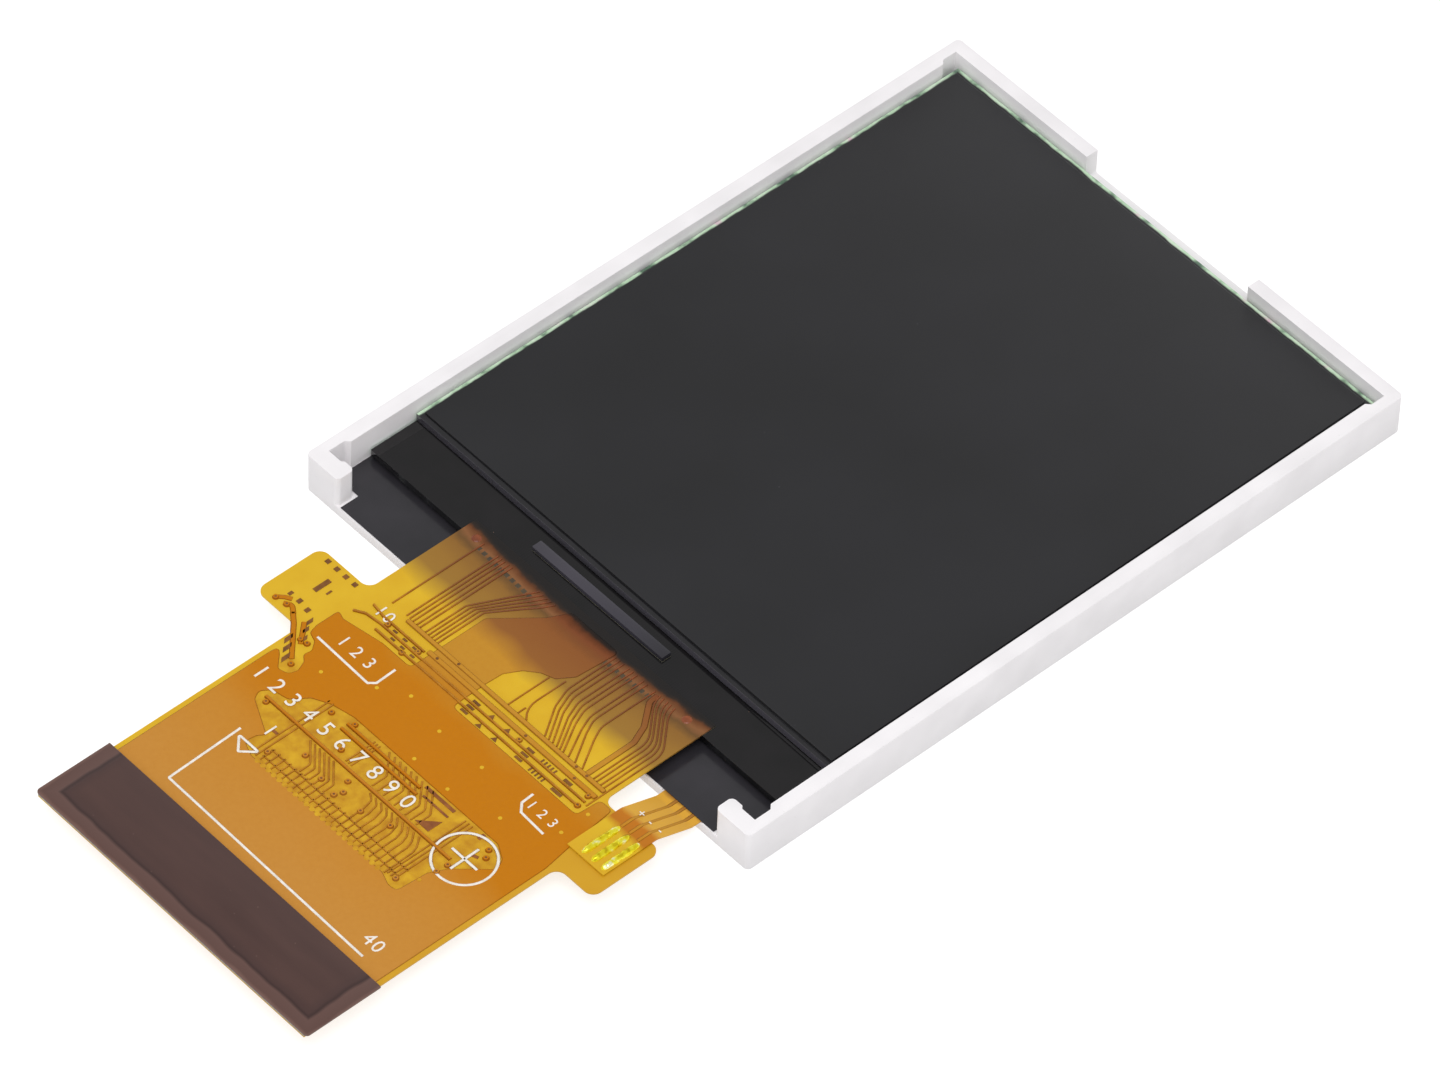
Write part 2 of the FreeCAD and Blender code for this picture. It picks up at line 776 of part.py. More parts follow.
def signal_tracks():
    """Tracks beside the ground plane: down the neck, across the patch and fanning out to the contacts."""
    body = new_body("signal_tracks", copper_level)
    half = sizes.track_width / 2
    mitre = half * TANGENT_OF_HALF_45
    shift = sizes.neck_track_shift
    left = strap_right + sizes.strap_flare + sizes.neck_track_gap
    right = left + sizes.track_width
    last_left = neck_right - sizes.copper_margin - shift - sizes.track_width
    neck_pitch = (last_left - left) / (sizes.neck_track_count - 1)
    start = front_face + sizes.neck_track_over_glass
    bend = front_face - sizes.neck_track_bend
    end = front_face - sizes.neck_track_end
    neck = new_sketch(body, "neck_track_outline")
    draw_outline(neck, (
        (left, start),
        (left, bend - mitre),
        (left + shift, bend - shift - mitre),
        (left + shift, end),
        (right + shift, end),
        (right + shift, bend - shift + mitre),
        (right, bend + mitre),
        (right, start),
    ))
    neck_track = add_pad(body, neck, "neck_track", sizes.copper_thickness)
    add_pattern(body, neck_track, neck, "neck_tracks", sizes.neck_track_count, neck_pitch)

    cross_far = patch_far - sizes.cross_track_setback
    cross_near = cross_far - sizes.cross_track_pitch * (sizes.cross_track_count - 1)
    cross_left = patch_left + sizes.patch_far_slope_run
    cross_right = patch_right - sizes.patch_near_slope_run
    cross = new_sketch(body, "cross_track_outline")
    draw_outline(cross, rectangle(cross_left, cross_right, cross_near - half, cross_near + half))
    cross_track = add_pad(body, cross, "cross_track", sizes.copper_thickness)
    add_pattern(
        body, cross_track, cross, "cross_tracks",
        sizes.cross_track_count, sizes.cross_track_pitch, "V_Axis",
    )

    fan_inset = sizes.patch_near_slope_run + sizes.track_clearance
    fan_left = patch_left + fan_inset
    fan_span = patch_right - fan_inset - fan_left - sizes.track_width
    fan_pitch = fan_span / (sizes.fan_track_count - 1)
    fan_near = patch_near + sizes.track_clearance
    fan = new_sketch(body, "fan_track_outline")
    fan_far = fan_near + sizes.fan_track_length
    draw_outline(fan, rectangle(fan_left, fan_left + sizes.track_width, fan_near, fan_far))
    fan_track = add_pad(body, fan, "fan_track", sizes.copper_thickness)
    add_pattern(body, fan_track, fan, "fan_tracks", sizes.fan_track_count, fan_pitch)
    subparts.append(body)
    return body


def solder_lands():
    """The three copper lands for the backlight, in the same layer as the ground plane."""
    body = new_body("solder_lands", copper_level)
    sketch = new_sketch(body, "land_outlines")
    half = sizes.land_width / 2
    for middle in land_positions():
        draw_outline(sketch, rectangle(middle - half, middle + half, land_near, land_far))
    add_pad(body, sketch, "lands", sizes.copper_thickness)
    subparts.append(body)


def flex_top_coverlay(ground_plane, tracks):
    """The cover film over the copper, open above the solder lands."""
    thickness = sizes.copper_thickness + sizes.top_coverlay_thickness
    film = flex_layer("top_coverlay_blank", FLEX_OUTLINE, copper_level, thickness)
    openings = new_sketch(film, "land_opening_outlines", offset=thickness)
    half = sizes.land_width / 2 + sizes.land_opening
    near = land_near - sizes.land_opening
    far = land_far + sizes.land_opening
    for middle in land_positions():
        draw_outline(openings, rectangle(middle - half, middle + half, near, far))
    add_pocket(film, openings, "land_openings", thickness)
    over_plane = doc.addObject("Part::Cut", "coverlay_over_plane")
    over_plane.Base = film
    over_plane.Tool = ground_plane
    coverlay = doc.addObject("Part::Cut", "flex_top_coverlay")
    coverlay.Label = "flex_top_coverlay"
    coverlay.Base = over_plane
    coverlay.Tool = tracks
    subparts.append(coverlay)


def flex_bottom_coverlay():
    """The cover film under the flex, from the edge of the glass to the contacts."""
    far = glass_front - sizes.bond_clearance
    outline = (
        (neck_left, far),
        *FLEX_OUTLINE[1:5],
        (flex_left, contact_start),
        (flex_right, contact_start),
        *FLEX_OUTLINE[7:11],
        (neck_right, far),
    )
    level = film_level - sizes.bottom_coverlay_thickness
    thickness = sizes.bottom_coverlay_thickness
    subparts.append(flex_layer("flex_bottom_coverlay", outline, level, thickness))


def copper_row(label, count, pitch, width, middle, near, far):
    """A row of like copper strips under the base film."""
    body = new_body(label, lead_level)
    left = middle - pitch * (count - 1) / 2 - width / 2
    sketch = new_sketch(body, f"{label}_outline")
    draw_outline(sketch, rectangle(left, left + width, near, far))
    strip = add_pad(body, sketch, f"{label}_strip", sizes.copper_thickness)
    add_pattern(body, strip, sketch, f"{label}_row", count, pitch)
    subparts.append(body)


def flex_circuit():
    bond_faces = (neck_left, neck_right, glass_front, bond_end)
    plate("flex_bond_film", bond_faces, ledge_level, sizes.bond_film_thickness)
    lead_near = glass_front - sizes.bond_clearance
    copper_row(
        "bond_leads", sizes.lead_count, sizes.lead_pitch, sizes.lead_width,
        sizes.neck_offset, lead_near, bond_end,
    )
    copper_row(
        "contact_fingers", sizes.finger_count, sizes.finger_pitch, sizes.finger_width,
        sizes.flex_offset, contact_end, contact_start,
    )
    subparts.append(flex_layer("flex_base_film", FLEX_OUTLINE, film_level, sizes.film_thickness))
    ground_plane = flex_ground_plane()
    tracks = signal_tracks()
    solder_lands()
    flex_top_coverlay(ground_plane, tracks)
    flex_bottom_coverlay()


# Stiffener over the contacts
def contact_stiffener():
    overhang = sizes.stiffener_overhang
    faces = (flex_left - overhang, flex_right + overhang, flex_end, stiffener_start)
    adhesive_faces = (flex_left, flex_right, flex_end, stiffener_start)
    plate("stiffener_adhesive", adhesive_faces, flex_top, sizes.stiffener_adhesive)
    body = new_body("connector_stiffener", stiffener_level)
    sketch = new_sketch(body, "stiffener_outline")
    end_rounds = dict.fromkeys((0, 1), sizes.stiffener_round)
    draw_outline(sketch, rectangle(*faces), end_rounds)
    add_pad(body, sketch, "stiffener", sizes.stiffener_thickness)
    subparts.append(body)


# Solder through a slot of the tail: a foot on the land and a rounded bead on top
def solder_joint(number, middle):
    body = new_body(f"solder_joint_{number}", coverlay_level)
    foot_side = sizes.slot_width / 2
    slot_near = land_near + sizes.slot_end_gap
    slot_far = land_far - sizes.slot_end_gap
    foot_height = led_tail_top - coverlay_level
    foot = new_sketch(body, f"solder_foot_{number}_outline")
    draw_outline(foot, rectangle(middle - foot_side, middle + foot_side, slot_near, slot_far))
    add_pad(body, foot, f"solder_foot_{number}", foot_height)
    bead_side = sizes.bead_width / 2
    bead = new_sketch(body, f"solder_bead_{number}_outline", offset=foot_height)
    draw_outline(bead, rectangle(middle - bead_side, middle + bead_side, land_near, land_far))
    add_pad(body, bead, f"solder_bead_{number}", sizes.bead_height)
    top = foot_height + sizes.bead_height
    long_edges = [(middle - bead_side, top), (middle + bead_side, top)]
    add_fillet(body, f"solder_bead_{number}_rounds", 1, long_edges, sizes.bead_round)
    subparts.append(body)


def check_model():
    """Every object must have been worked out, and every sub-part must be a sound solid."""
    doc.recompute()
    for thing in doc.Objects:
        if "Invalid" in thing.State or "Error" in thing.State:
            raise RuntimeError(f"{thing.Label} failed: {thing.State}")
    for part in subparts:
        if part.Shape.isNull() or not part.Shape.isValid() or not part.Shape.Solids:
            raise RuntimeError(f"{part.Label} has no valid solid")


def write_parts():
    """One file for each sub-part, named after it."""
    os.makedirs("parts", exist_ok=True)
    for part in subparts:
        part.Shape.exportStep(os.path.join("parts", f"{part.Label}.step"))


backlight_frame()
backlight_sheets()
for led_number, way in ((1, -1), (2, 1)):
    led(led_number, sizes.led_spacing * way / 2)
backlight_flex()
light_shield_tape()
display_cell()
flex_circuit()
contact_stiffener()
for joint_number, joint_middle in enumerate(land_positions(), 1):
    solder_joint(joint_number, joint_middle)
check_model()
write_parts()
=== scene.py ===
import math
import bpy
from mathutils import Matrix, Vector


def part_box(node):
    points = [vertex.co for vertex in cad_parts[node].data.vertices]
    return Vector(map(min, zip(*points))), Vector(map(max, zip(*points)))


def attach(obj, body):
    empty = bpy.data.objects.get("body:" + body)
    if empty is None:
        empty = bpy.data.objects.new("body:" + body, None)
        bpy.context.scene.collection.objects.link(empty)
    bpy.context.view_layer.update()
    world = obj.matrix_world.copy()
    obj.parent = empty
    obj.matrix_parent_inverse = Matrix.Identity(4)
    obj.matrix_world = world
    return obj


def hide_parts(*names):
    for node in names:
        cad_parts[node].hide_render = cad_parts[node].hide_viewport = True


bl_info = {
    "name": "Display Module Looks",
    "version": (1, 0, 0),
    "blender": (4, 5, 0),
    "location": "3D View > Sidebar > Display",
    "description": "Finishes and fine detail of a small TFT display module with its flex circuit",
    "category": "Object",
}

import bmesh
import bpy
from mathutils import Matrix, Vector, noise

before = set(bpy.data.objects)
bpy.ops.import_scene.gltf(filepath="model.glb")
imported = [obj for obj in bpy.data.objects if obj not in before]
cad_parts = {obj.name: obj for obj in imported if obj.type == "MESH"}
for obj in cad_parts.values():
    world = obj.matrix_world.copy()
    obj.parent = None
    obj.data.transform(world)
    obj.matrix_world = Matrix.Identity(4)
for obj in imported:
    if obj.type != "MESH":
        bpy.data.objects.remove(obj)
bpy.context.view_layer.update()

MM = 0.001
BODY = "root"

# Where the film's colours change, in millimetres: the bonded end's half width and bow, the middle
# of the patch of fine tracks, and how far in from the frame's near edge the darker tones run
BOND_HALF_WIDTH = 8.5
BOND_BOW = 0.35
PATCH_MIDDLE = 1.2
TAPE_REACH = 6.0

# Shapes: joining distances, edges, arcs and letters
WELD = 1e-7
MERGE = 1e-6
FLAT_ANGLE = math.radians(0.5)
EDGE_ANGLE = math.radians(40)
RIDGE_TOP = 0.55
BUTTON_TOP = 0.7
BUTTON_SIDES = 14
BEND_STEPS = 4
CAPITAL_HEIGHT = 0.7
LETTER_SPACING = 1.15
ARC_LIMIT = 0.45
ARC_STEPS = 3
THINNEST = 0.001

# Edge roundings in metres, and slopes of small raised areas in millimetres
GLASS_EDGE = 0.04 * MM
SHEET_EDGE = 0.03 * MM
CHIP_EDGE = 0.02 * MM
STIFFENER_EDGE = 0.04 * MM
MARK_SLOPE = 0.015
WINDOW_SLOPE = 0.01

# How far small details stand above or sink into what carries them, in metres
HOLE_SINK = 0.01 * MM
HOLE_RISE = 0.004 * MM
TRACK_END_RISE = 0.008 * MM
PLANE_VIA_RISE = 0.014 * MM
JUMPER_VIA_RISE = 0.012 * MM
BOND_WINDOW_RISE = 0.02 * MM
PRINT_SINK = 0.004 * MM

# Solder bead: rings along it and points round it, its lumps as (share of its size, how close
# together), how blunt its ends are, how far it sinks into its slot, and how far apart the beads
# lie in the pattern of lumps
BEAD_RINGS = 30
BEAD_POINTS = 14
COARSE_LUMPS = (0.28, 1.7)
FINE_LUMPS = (0.06, 5.0)
BEAD_BLUNTNESS = 6
BEAD_SINK = 0.02 * MM
BEAD_SHARP = math.radians(60)
BEAD_SHIFT = 3.7

# Stage: the sensor in millimetres, other lengths in metres, and light from the horizon and from
# straight above as shares of the surround's strength. Light from below the horizon, and what the
# camera sees above it, are spans of (height from, height to, share there, share here)
SENSOR_WIDTH = 36
CLIP_START = 0.01
LAMP_SIZE = (0.32, 0.24)
LAMP_PLACE = Vector((0.12, -0.15, 0.42))
FLOOR_REACH = 1.2
FLOOR_GAP = 0.03 * MM
FLOOR_PAINT = [0.42, 0.42, 0.42, 1]
FLOOR_GLOW = 0.73
HORIZON_SHARE = 1.5
ZENITH_SHARE = 0.77
BELOW_SPAN = (-0.15, 0.0, 0.6, 1.0)
SHOWN_SPAN = (0.1, 0.6, 1.0, 0.5)

# The layout of the flex circuit is drawn in millimetres from the frame's near left corner
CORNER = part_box("backlight_frame")[0]
BASE_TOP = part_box("flex_base_film")[1].z
COPPER_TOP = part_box("flex_top_coverlay")[1].z
TAIL_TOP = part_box("backlight_flex")[1].z


# Small helpers
def place(x, y, z):
    """A point of the layout, x and y in millimetres from the frame's corner, z in metres."""
    return Vector((CORNER.x + x * MM, CORNER.y + y * MM, z))


def shares(red, green, blue):
    """An 8-bit colour as values from 0 to 1."""
    return (red / 255, green / 255, blue / 255)


def eight_bit(colour):
    """Values from 0 to 1 as an 8-bit colour."""
    return tuple(round(value * 255) for value in colour)


def linear(red, green, blue):
    """An 8-bit colour as linear light."""
    values = shares(red, green, blue)
    return tuple(v / 12.92 if v <= 0.04045 else ((v + 0.055) / 1.055) ** 2.4 for v in values)


def scaled(colour, share):
    """An 8-bit colour made darker or lighter."""
    return tuple(int(value * share) for value in colour)


def closed_mesh(mesh):
    """Join what touches and turn every face outwards."""
    work = bmesh.new()
    work.from_mesh(mesh)
    bmesh.ops.remove_doubles(work, verts=work.verts, dist=WELD)
    bmesh.ops.recalc_face_normals(work, faces=work.faces)
    work.to_mesh(mesh)
    work.free()
    return mesh


def add_piece(name, mesh, material, slot, replaced=()):
    """A new piece of the object, with its finish, that rides with the module."""
    piece = bpy.data.objects.new(name, mesh)
    bpy.context.scene.collection.objects.link(piece)
    mesh.materials.clear()
    mesh.materials.append(material)
    if replaced:
        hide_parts(*replaced)
    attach(piece, BODY)
    return piece


def dress(node, material):
    """A new finish on a solid that keeps its own shape."""
    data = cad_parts[node].data
    data.materials.clear()
    data.materials.append(material)


def merged_copy(node, name):
    """The solid's mesh with its loose triangles joined into plain faces."""
    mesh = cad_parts[node].data.copy()
    mesh.name = name
    work = bmesh.new()
    work.from_mesh(mesh)
    bmesh.ops.remove_doubles(work, verts=work.verts, dist=MERGE)
    bmesh.ops.dissolve_limit(work, angle_limit=FLAT_ANGLE, verts=work.verts, edges=work.edges)
    work.to_mesh(mesh)
    work.free()
    return mesh


def softened(node, name, material, slot, width, segments=2):
    """The solid again with its sharp edges rounded, in place of the plain one."""
    piece = add_piece(name, merged_copy(node, name), material, slot, [node])
    bevel = piece.modifiers.new("edges", "BEVEL")
    bevel.width = width
    bevel.segments = segments
    bevel.limit_method = "ANGLE"
    bevel.angle_limit = EDGE_ANGLE
    bevel.harden_normals = True
    piece.data.shade_smooth()
    return piece


def rounded(corners, radius):
    """An outline with each corner turned into an arc, where its two sides leave room."""
    outline = []
    count = len(corners)
    for i, corner in enumerate(corners):
        here = Vector(corner)
        before = Vector(corners[i - 1]) - here
        after = Vector(corners[(i + 1) % count]) - here
        half = before.angle(after) / 2
        run = min(radius / math.tan(half), before.length * ARC_LIMIT, after.length * ARC_LIMIT)
        start = here + before.normalized() * run
        end = here + after.normalized() * run
        for step in range(ARC_STEPS + 1):
            share = step / ARC_STEPS
            first = start.lerp(here, share)
            outline.append(first.lerp(here.lerp(end, share), share))
    return outline


def raised_area(name, outlines, low, high, edge):
    """Closed outlines of the layout as one level area with sloping edges; an inner outline is a hole."""
    curve = bpy.data.curves.new(name, "CURVE")
    curve.dimensions = "2D"
    curve.fill_mode = "BOTH"
    for outline in outlines:
        spline = curve.splines.new("POLY")
        spline.points.add(len(outline) - 1)
        for point, (x, y) in zip(spline.points, outline):
            point.co = (x, y, 0, 1)
        spline.use_cyclic_u = True
    rise = (high - low) / MM
    curve.bevel_depth = edge
    curve.bevel_resolution = 0
    curve.extrude = max(rise / 2 - edge, THINNEST)
    curve.offset = -edge
    source = bpy.data.objects.new(name, curve)
    mesh = bpy.data.meshes.new_from_object(source)
    bpy.data.objects.remove(source)
    bpy.data.curves.remove(curve)
    top = max(vertex.co.z for vertex in mesh.vertices)
    for vertex in mesh.vertices:
        share = 0.5 + vertex.co.z / top / 2
        vertex.co = place(vertex.co.x, vertex.co.y, low + (high - low) * share)
    return closed_mesh(mesh)


def add_area(name, outlines, look, low, high, edge):
    """A raised area as a piece of its own."""
    material, slot = look
    return add_piece(name, raised_area(name, outlines, low, high, edge), material, slot)


def paths_mesh(name, paths, level):
    """Open or closed paths of the layout as chains of edges. A point may carry its own level."""
    mesh = bpy.data.meshes.new(name)
    points = []
    edges = []
    for path in paths:
        first = len(points)
        points += [place(p[0], p[1], p[2] if len(p) > 2 else level) for p in path]
        edges += [(i, i + 1) for i in range(first, len(points) - 1)]
        if path[0] == path[-1]:
            points.pop()
            edges[-1] = (len(points) - 1, first)
    mesh.from_pydata(points, edges, [])
    return mesh


# Node graphs for finishes, shapes and light
class Value:
    """One output in a graph, for plain arithmetic."""

    def __init__(self, graph, socket):
        self.graph = graph
        self.socket = socket

    def __add__(self, other):
        return self.graph.math("ADD", self, other)

    def __sub__(self, other):
        return self.graph.math("SUBTRACT", self, other)

    def __rsub__(self, other):
        return self.graph.math("SUBTRACT", other, self)

    def __mul__(self, other):
        return self.graph.math("MULTIPLY", self, other)

    def __truediv__(self, other):
        return self.graph.math("DIVIDE", self, other)

    def __abs__(self):
        return self.graph.math("ABSOLUTE", self)


class Graph:
    """A node tree that grows node by node. Inputs are given by name or number."""

    def __init__(self, tree):
        self.nodes = tree.nodes
        self.links = tree.links

    def feed(self, socket, source):
        """A value of the graph, an 8-bit colour as a tuple, or what the socket takes as it is."""
        if isinstance(source, Value):
            self.links.new(source.socket, socket)
        elif isinstance(source, tuple):
            socket.default_value = (*linear(*source), 1)
        else:
            socket.default_value = source

    def node(self, kind, inputs=None, **settings):
        """A new node with its settings and inputs."""
        node = self.nodes.new(kind)
        for key, setting in settings.items():
            setattr(node, key, setting)
        for key, source in (inputs or {}).items():
            self.feed(node.inputs[key], source)
        return node

    def value(self, kind, output, inputs=None, **settings):
        """One output of a new node."""
        return Value(self, self.node(kind, inputs, **settings).outputs[output])

    def math(self, kind, first, second=0.0):
        return self.value("ShaderNodeMath", 0, {0: first, 1: second}, operation=kind)

    def span(self, value, low, high, to_low=0.0, to_high=1.0):
        """A value's range mapped onto another, held at its ends."""
        inputs = {0: value, 1: low, 2: high, 3: to_low, 4: to_high}
        return self.value("ShaderNodeMapRange", "Result", inputs)


class Finish(Graph):
    """A procedural material on one shader, with its patterns placed in millimetres."""

    def __init__(self, name, roughness=0.4, metallic=0.0, specular=0.5):
        self.material = bpy.data.materials.new(name)
        self.material.use_nodes = True
        super().__init__(self.material.node_tree)
        self.shader = self.nodes["Principled BSDF"].inputs
        self.shader["Roughness"].default_value = roughness
        self.shader["Metallic"].default_value = metallic
        self.shader["Specular IOR Level"].default_value = specular
        self.place = self.mapped(1000, 1000, 1000)

    def mapped(self, *scale):
        """Object coordinates, with a scale for each axis."""
        source = self.value("ShaderNodeTexCoord", "Object")
        return self.value("ShaderNodeMapping", "Vector", {"Vector": source, "Scale": list(scale)})

    def noise(self, per_mm, detail=3.0, place=None):
        inputs = {"Scale": per_mm, "Detail": detail, "Vector": place or self.place}
        return self.value("ShaderNodeTexNoise", "Fac", inputs)

    def wander(self, per_mm, detail, amount):
        """A slow drift to both sides of zero."""
        return (self.noise(per_mm, detail) - 0.5) * amount

    def specks(self, per_mm, size):
        """Small round specks: 1 inside a speck and 0 elsewhere."""
        cells = self.value("ShaderNodeTexVoronoi", "Distance", {"Scale": per_mm, "Vector": self.place})
        return self.span(cells, size, size * 0.5)

    def across(self, axis):
        """One coordinate of the module, in millimetres."""
        return self.value("ShaderNodeSeparateXYZ", axis, {0: self.place})

    def layout(self, axis):
        """The same from the frame's near left corner."""
        return self.across(axis) - CORNER["XY".index(axis)] / MM

    def facing(self, axis):
        """The surface's own direction along an axis of the module."""
        normal = self.value("ShaderNodeNewGeometry", "Normal")
        return self.value("ShaderNodeSeparateXYZ", axis, {0: normal})

    def ramp(self, value, *stops):
        """Colours along a value, from stops of (position, 8-bit colour)."""
        result = self.value("ShaderNodeValToRGB", "Color", {"Fac": value})
        elements = result.socket.node.color_ramp.elements
        while len(elements) < len(stops):
            elements.new(0.5)
        for element, (position, colour) in zip(elements, stops):
            element.position = position
            element.color = (*linear(*colour), 1)
        return result

    def clouds(self, per_mm, detail, dark, light):
        """Two close tones that drift into each other."""
        return self.ramp(self.noise(per_mm, detail), (0.3, dark), (0.7, light))

    def mix(self, share, first, second, blend="MIX"):
        inputs = {"Factor": share, "A": first, "B": second}
        return self.value("ShaderNodeMix", "Result", inputs, data_type="RGBA", blend_type=blend)

    def by_slope(self, side, top):
        """One colour for upright faces and one for level faces."""
        return self.mix(self.span(self.facing("Z"), 0.5, 0.8), side, top)

    def shaded_on_slopes(self, colour, shade):
        """A colour with painted shade on slopes: a darker tone where film is drawn over an edge."""
        slope = self.span(self.facing("Z"), 0.7, 0.97, 1.0, 0.0)
        return self.mix(slope, colour, self.mix(1.0, colour, shade, "MULTIPLY"))

    def colour(self, value):
        self.feed(self.shader["Base Color"], value)

    def roughness(self, pattern, low, high):
        """Gloss that follows a pattern."""
        self.feed(self.shader["Roughness"], self.span(pattern, 0.3, 0.7, low, high))

    def bump(self, height, depth, strength):
        """Relief of a depth in millimetres."""
        inputs = {"Height": height, "Distance": depth * MM, "Strength": strength}
        self.feed(self.shader["Normal"], self.value("ShaderNodeBump", "Normal", inputs))


def frame_plastic(name, light):
    """White moulded plastic: faint flow clouds, a fine sparked texture and a little dust."""
    finish = Finish(name, roughness=0.42, specular=0.4)
    body = finish.clouds(0.35, 2.0, scaled(light, 0.965), light)
    finish.colour(finish.mix(finish.specks(1.6, 0.05) * 0.35, body, (176, 170, 166)))
    grain = finish.noise(14.0, 4.0)
    finish.roughness(grain, 0.36, 0.5)
    finish.bump(grain, 0.006, 0.5)
    return finish.material


def glass_edge(name):
    """Thin glass over a dark stack: dark from above, with a painted glow: pale green on its upright edges
    and along its left and far rims, where light leaves the glass.
    """
    finish = Finish(name, roughness=0.05)
    # Painted glow: pale green streaks on the upright edges stand for light leaving the glass
    edge = finish.ramp(
        finish.noise(1.1, place=finish.mapped(900, 900, 90)),
        (0.32, (92, 120, 100)), (0.46, (190, 222, 188)), (0.6, (214, 236, 210)), (0.72, (226, 190, 205)),
    )
    front = finish.mix(finish.specks(2.6, 0.07) * 0.8, (70, 68, 75), (120, 106, 96))
    # The near face keeps a dark, dusty tone; the other upright faces take the painted glow
    edge = finish.mix(finish.span(finish.facing("Y"), -0.7, -0.3), front, edge)
    face = finish.clouds(0.8, 3.0, (30, 30, 32), (38, 37, 40))
    # Painted glow: the top face turns pale green along its left and far rims
    low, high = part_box("colour_filter_glass")
    left = finish.across("X") - low.x / MM
    far = high.y / MM - finish.across("Y")
    rim = finish.math("MINIMUM", left, far) + finish.noise(0.9, 2.0) * 0.2
    face = finish.mix(finish.span(rim, 0.24, 0.34), edge, face)
    finish.colour(finish.by_slope(edge, face))
    return finish.material


def ledge_glass(name):
    """The lower glass: a dark, wet-looking ledge with faint conductors running to the chip, and a painted
    pale green glow on its side faces.
    """
    finish = Finish(name, roughness=0.06)
    lines = abs(finish.math("SINE", finish.across("X") * 21.0))
    face = finish.clouds(0.6, 4.0, (11, 11, 12), (19, 17, 19))
    face = finish.mix(finish.span(lines, 0.92, 1.0, 0.0, 0.22), face, (44, 36, 40))
    face = finish.mix(finish.specks(0.9, 0.032) * 0.8, face, (128, 100, 84))
    edge = finish.ramp(
        finish.noise(1.1, place=finish.mapped(900, 900, 90)),
        (0.4, (14, 14, 15)), (0.62, (24, 24, 26)), (0.78, (58, 60, 60)),
    )
    # Painted glow: the side faces are pale green, for light leaving the glass edge
    edge = finish.mix(finish.span(abs(finish.facing("X")), 0.6, 0.9), edge, (150, 182, 156))
    finish.colour(finish.by_slope(edge, face))
    return finish.material


def polarizer_film(name, tone):
    """Anti-glare film over the dark picture: matt, with a whisper of mottle and the odd speck."""
    finish = Finish(name, roughness=0.34, specular=0.45)
    body = finish.clouds(0.12, 2.0, scaled(tone, 0.86), tone)
    finish.colour(finish.mix(finish.specks(0.45, 0.028) * 0.5, body, (96, 94, 100)))
    finish.bump(finish.noise(22.0, 2.0), 0.0012, 0.6)
    return finish.material


def black_tape(name, tone):
    """Shiny black film tape with slight waves and lint."""
    finish = Finish(name, roughness=0.2)
    finish.colour(finish.ramp(finish.noise(0.3), (0.3, tone), (0.75, scaled(tone, 1.25))))
    finish.roughness(finish.noise(2.0, 4.0), 0.14, 0.26)
    finish.bump(finish.noise(0.45, 2.0), 0.02, 0.35)
    return finish.material


def over_tape(finish, outside, *stops):
    """A film's colour in the open, darkening where it lies over the black tape and the glass.

    The stops are (millimetres in from the frame's near edge, 8-bit colour).
    """
    y = finish.layout("Y")
    from_middle = finish.across("X") / BOND_HALF_WIDTH
    bow = (1.0 - from_middle * from_middle) * BOND_BOW
    inwards = y + finish.wander(1.3, 3.0, 0.5) + bow
    backed = finish.ramp(inwards / TAPE_REACH, *[(stop / TAPE_REACH, tone) for stop, tone in stops])
    return finish.mix(finish.span(y + finish.wander(0.5, 1.0, 0.8), -0.95, 0.4), outside, backed)


def bare_film(name, yellow):
    """Amber film without copper: clear yellow, rippled in the patch, brown over the tape."""
    finish = Finish(name, roughness=0.3, specular=0.25)
    deep = tuple(int(value * share) for value, share in zip(yellow, (0.97, 0.94, 0.82)))
    outside = finish.clouds(0.5, 3.0, deep, yellow)
    right = finish.layout("X") + finish.noise(0.9) * 3.0
    outside = finish.mix(finish.span(right, 27.5, 29.5, 0.0, 0.6), outside, (200, 142, 34))
    from_middle = abs(finish.across("X") - PATCH_MIDDLE)
    patch = finish.span(finish.layout("Y"), -8.6, -9.0) * finish.span(from_middle, 9.4, 9.0)
    outside = finish.mix(patch, outside, finish.clouds(1.4, 4.0, (189, 132, 24), (216, 168, 34)))
    finish.colour(over_tape(
        finish, outside,
        (0.2, (156, 116, 46)), (1.6, (152, 110, 44)), (2.6, (140, 98, 42)), (3.1, (108, 76, 40)),
        (3.45, (134, 88, 52)), (3.85, (104, 60, 30)), (4.05, (48, 36, 28)), (4.25, (32, 29, 28)),
    ))
    finish.bump(finish.noise(1.1), 0.03, 0.5)
    return finish.material


def covered_copper(name, orange):
    """Copper under amber film: warm orange, paler beside the tape, with a painted sheen that makes it
    paler towards the contacts and painted shade on the slopes of its edges.
    """
    finish = Finish(name, roughness=0.3, specular=0.12)
    # Painted sheen: the tone pales towards the contacts; the last stop is a paler tone beside the tape
    sheen_fade = finish.layout("Y") + finish.noise(0.16, 2.0) * 5.0
    outside = finish.ramp(
        finish.span(sheen_fade, -16.0, 2.0), (0.0, (197, 137, 58)), (0.28, (197, 133, 46)),
        (0.45, orange), (0.72, orange), (0.86, (194, 138, 44)),
    )
    fine = finish.span(finish.noise(4.0, 4.0), 0.35, 0.7, 0.0, 0.1)
    body = over_tape(
        finish, finish.mix(fine, outside, (168, 98, 16)),
        (0.2, (148, 96, 46)), (2.6, (140, 86, 44)), (3.1, (128, 78, 42)), (3.5, (124, 70, 40)),
        (3.85, (98, 54, 30)), (4.05, (46, 34, 28)), (4.25, (32, 28, 27)),
    )
    # Painted shade: a darker tone on the slopes at the copper's edges
    finish.colour(finish.shaded_on_slopes(body, (205, 190, 170)))
    finish.roughness(finish.noise(0.8), 0.24, 0.36)
    finish.bump(finish.noise(0.6), 0.02, 0.4)
    return finish.material


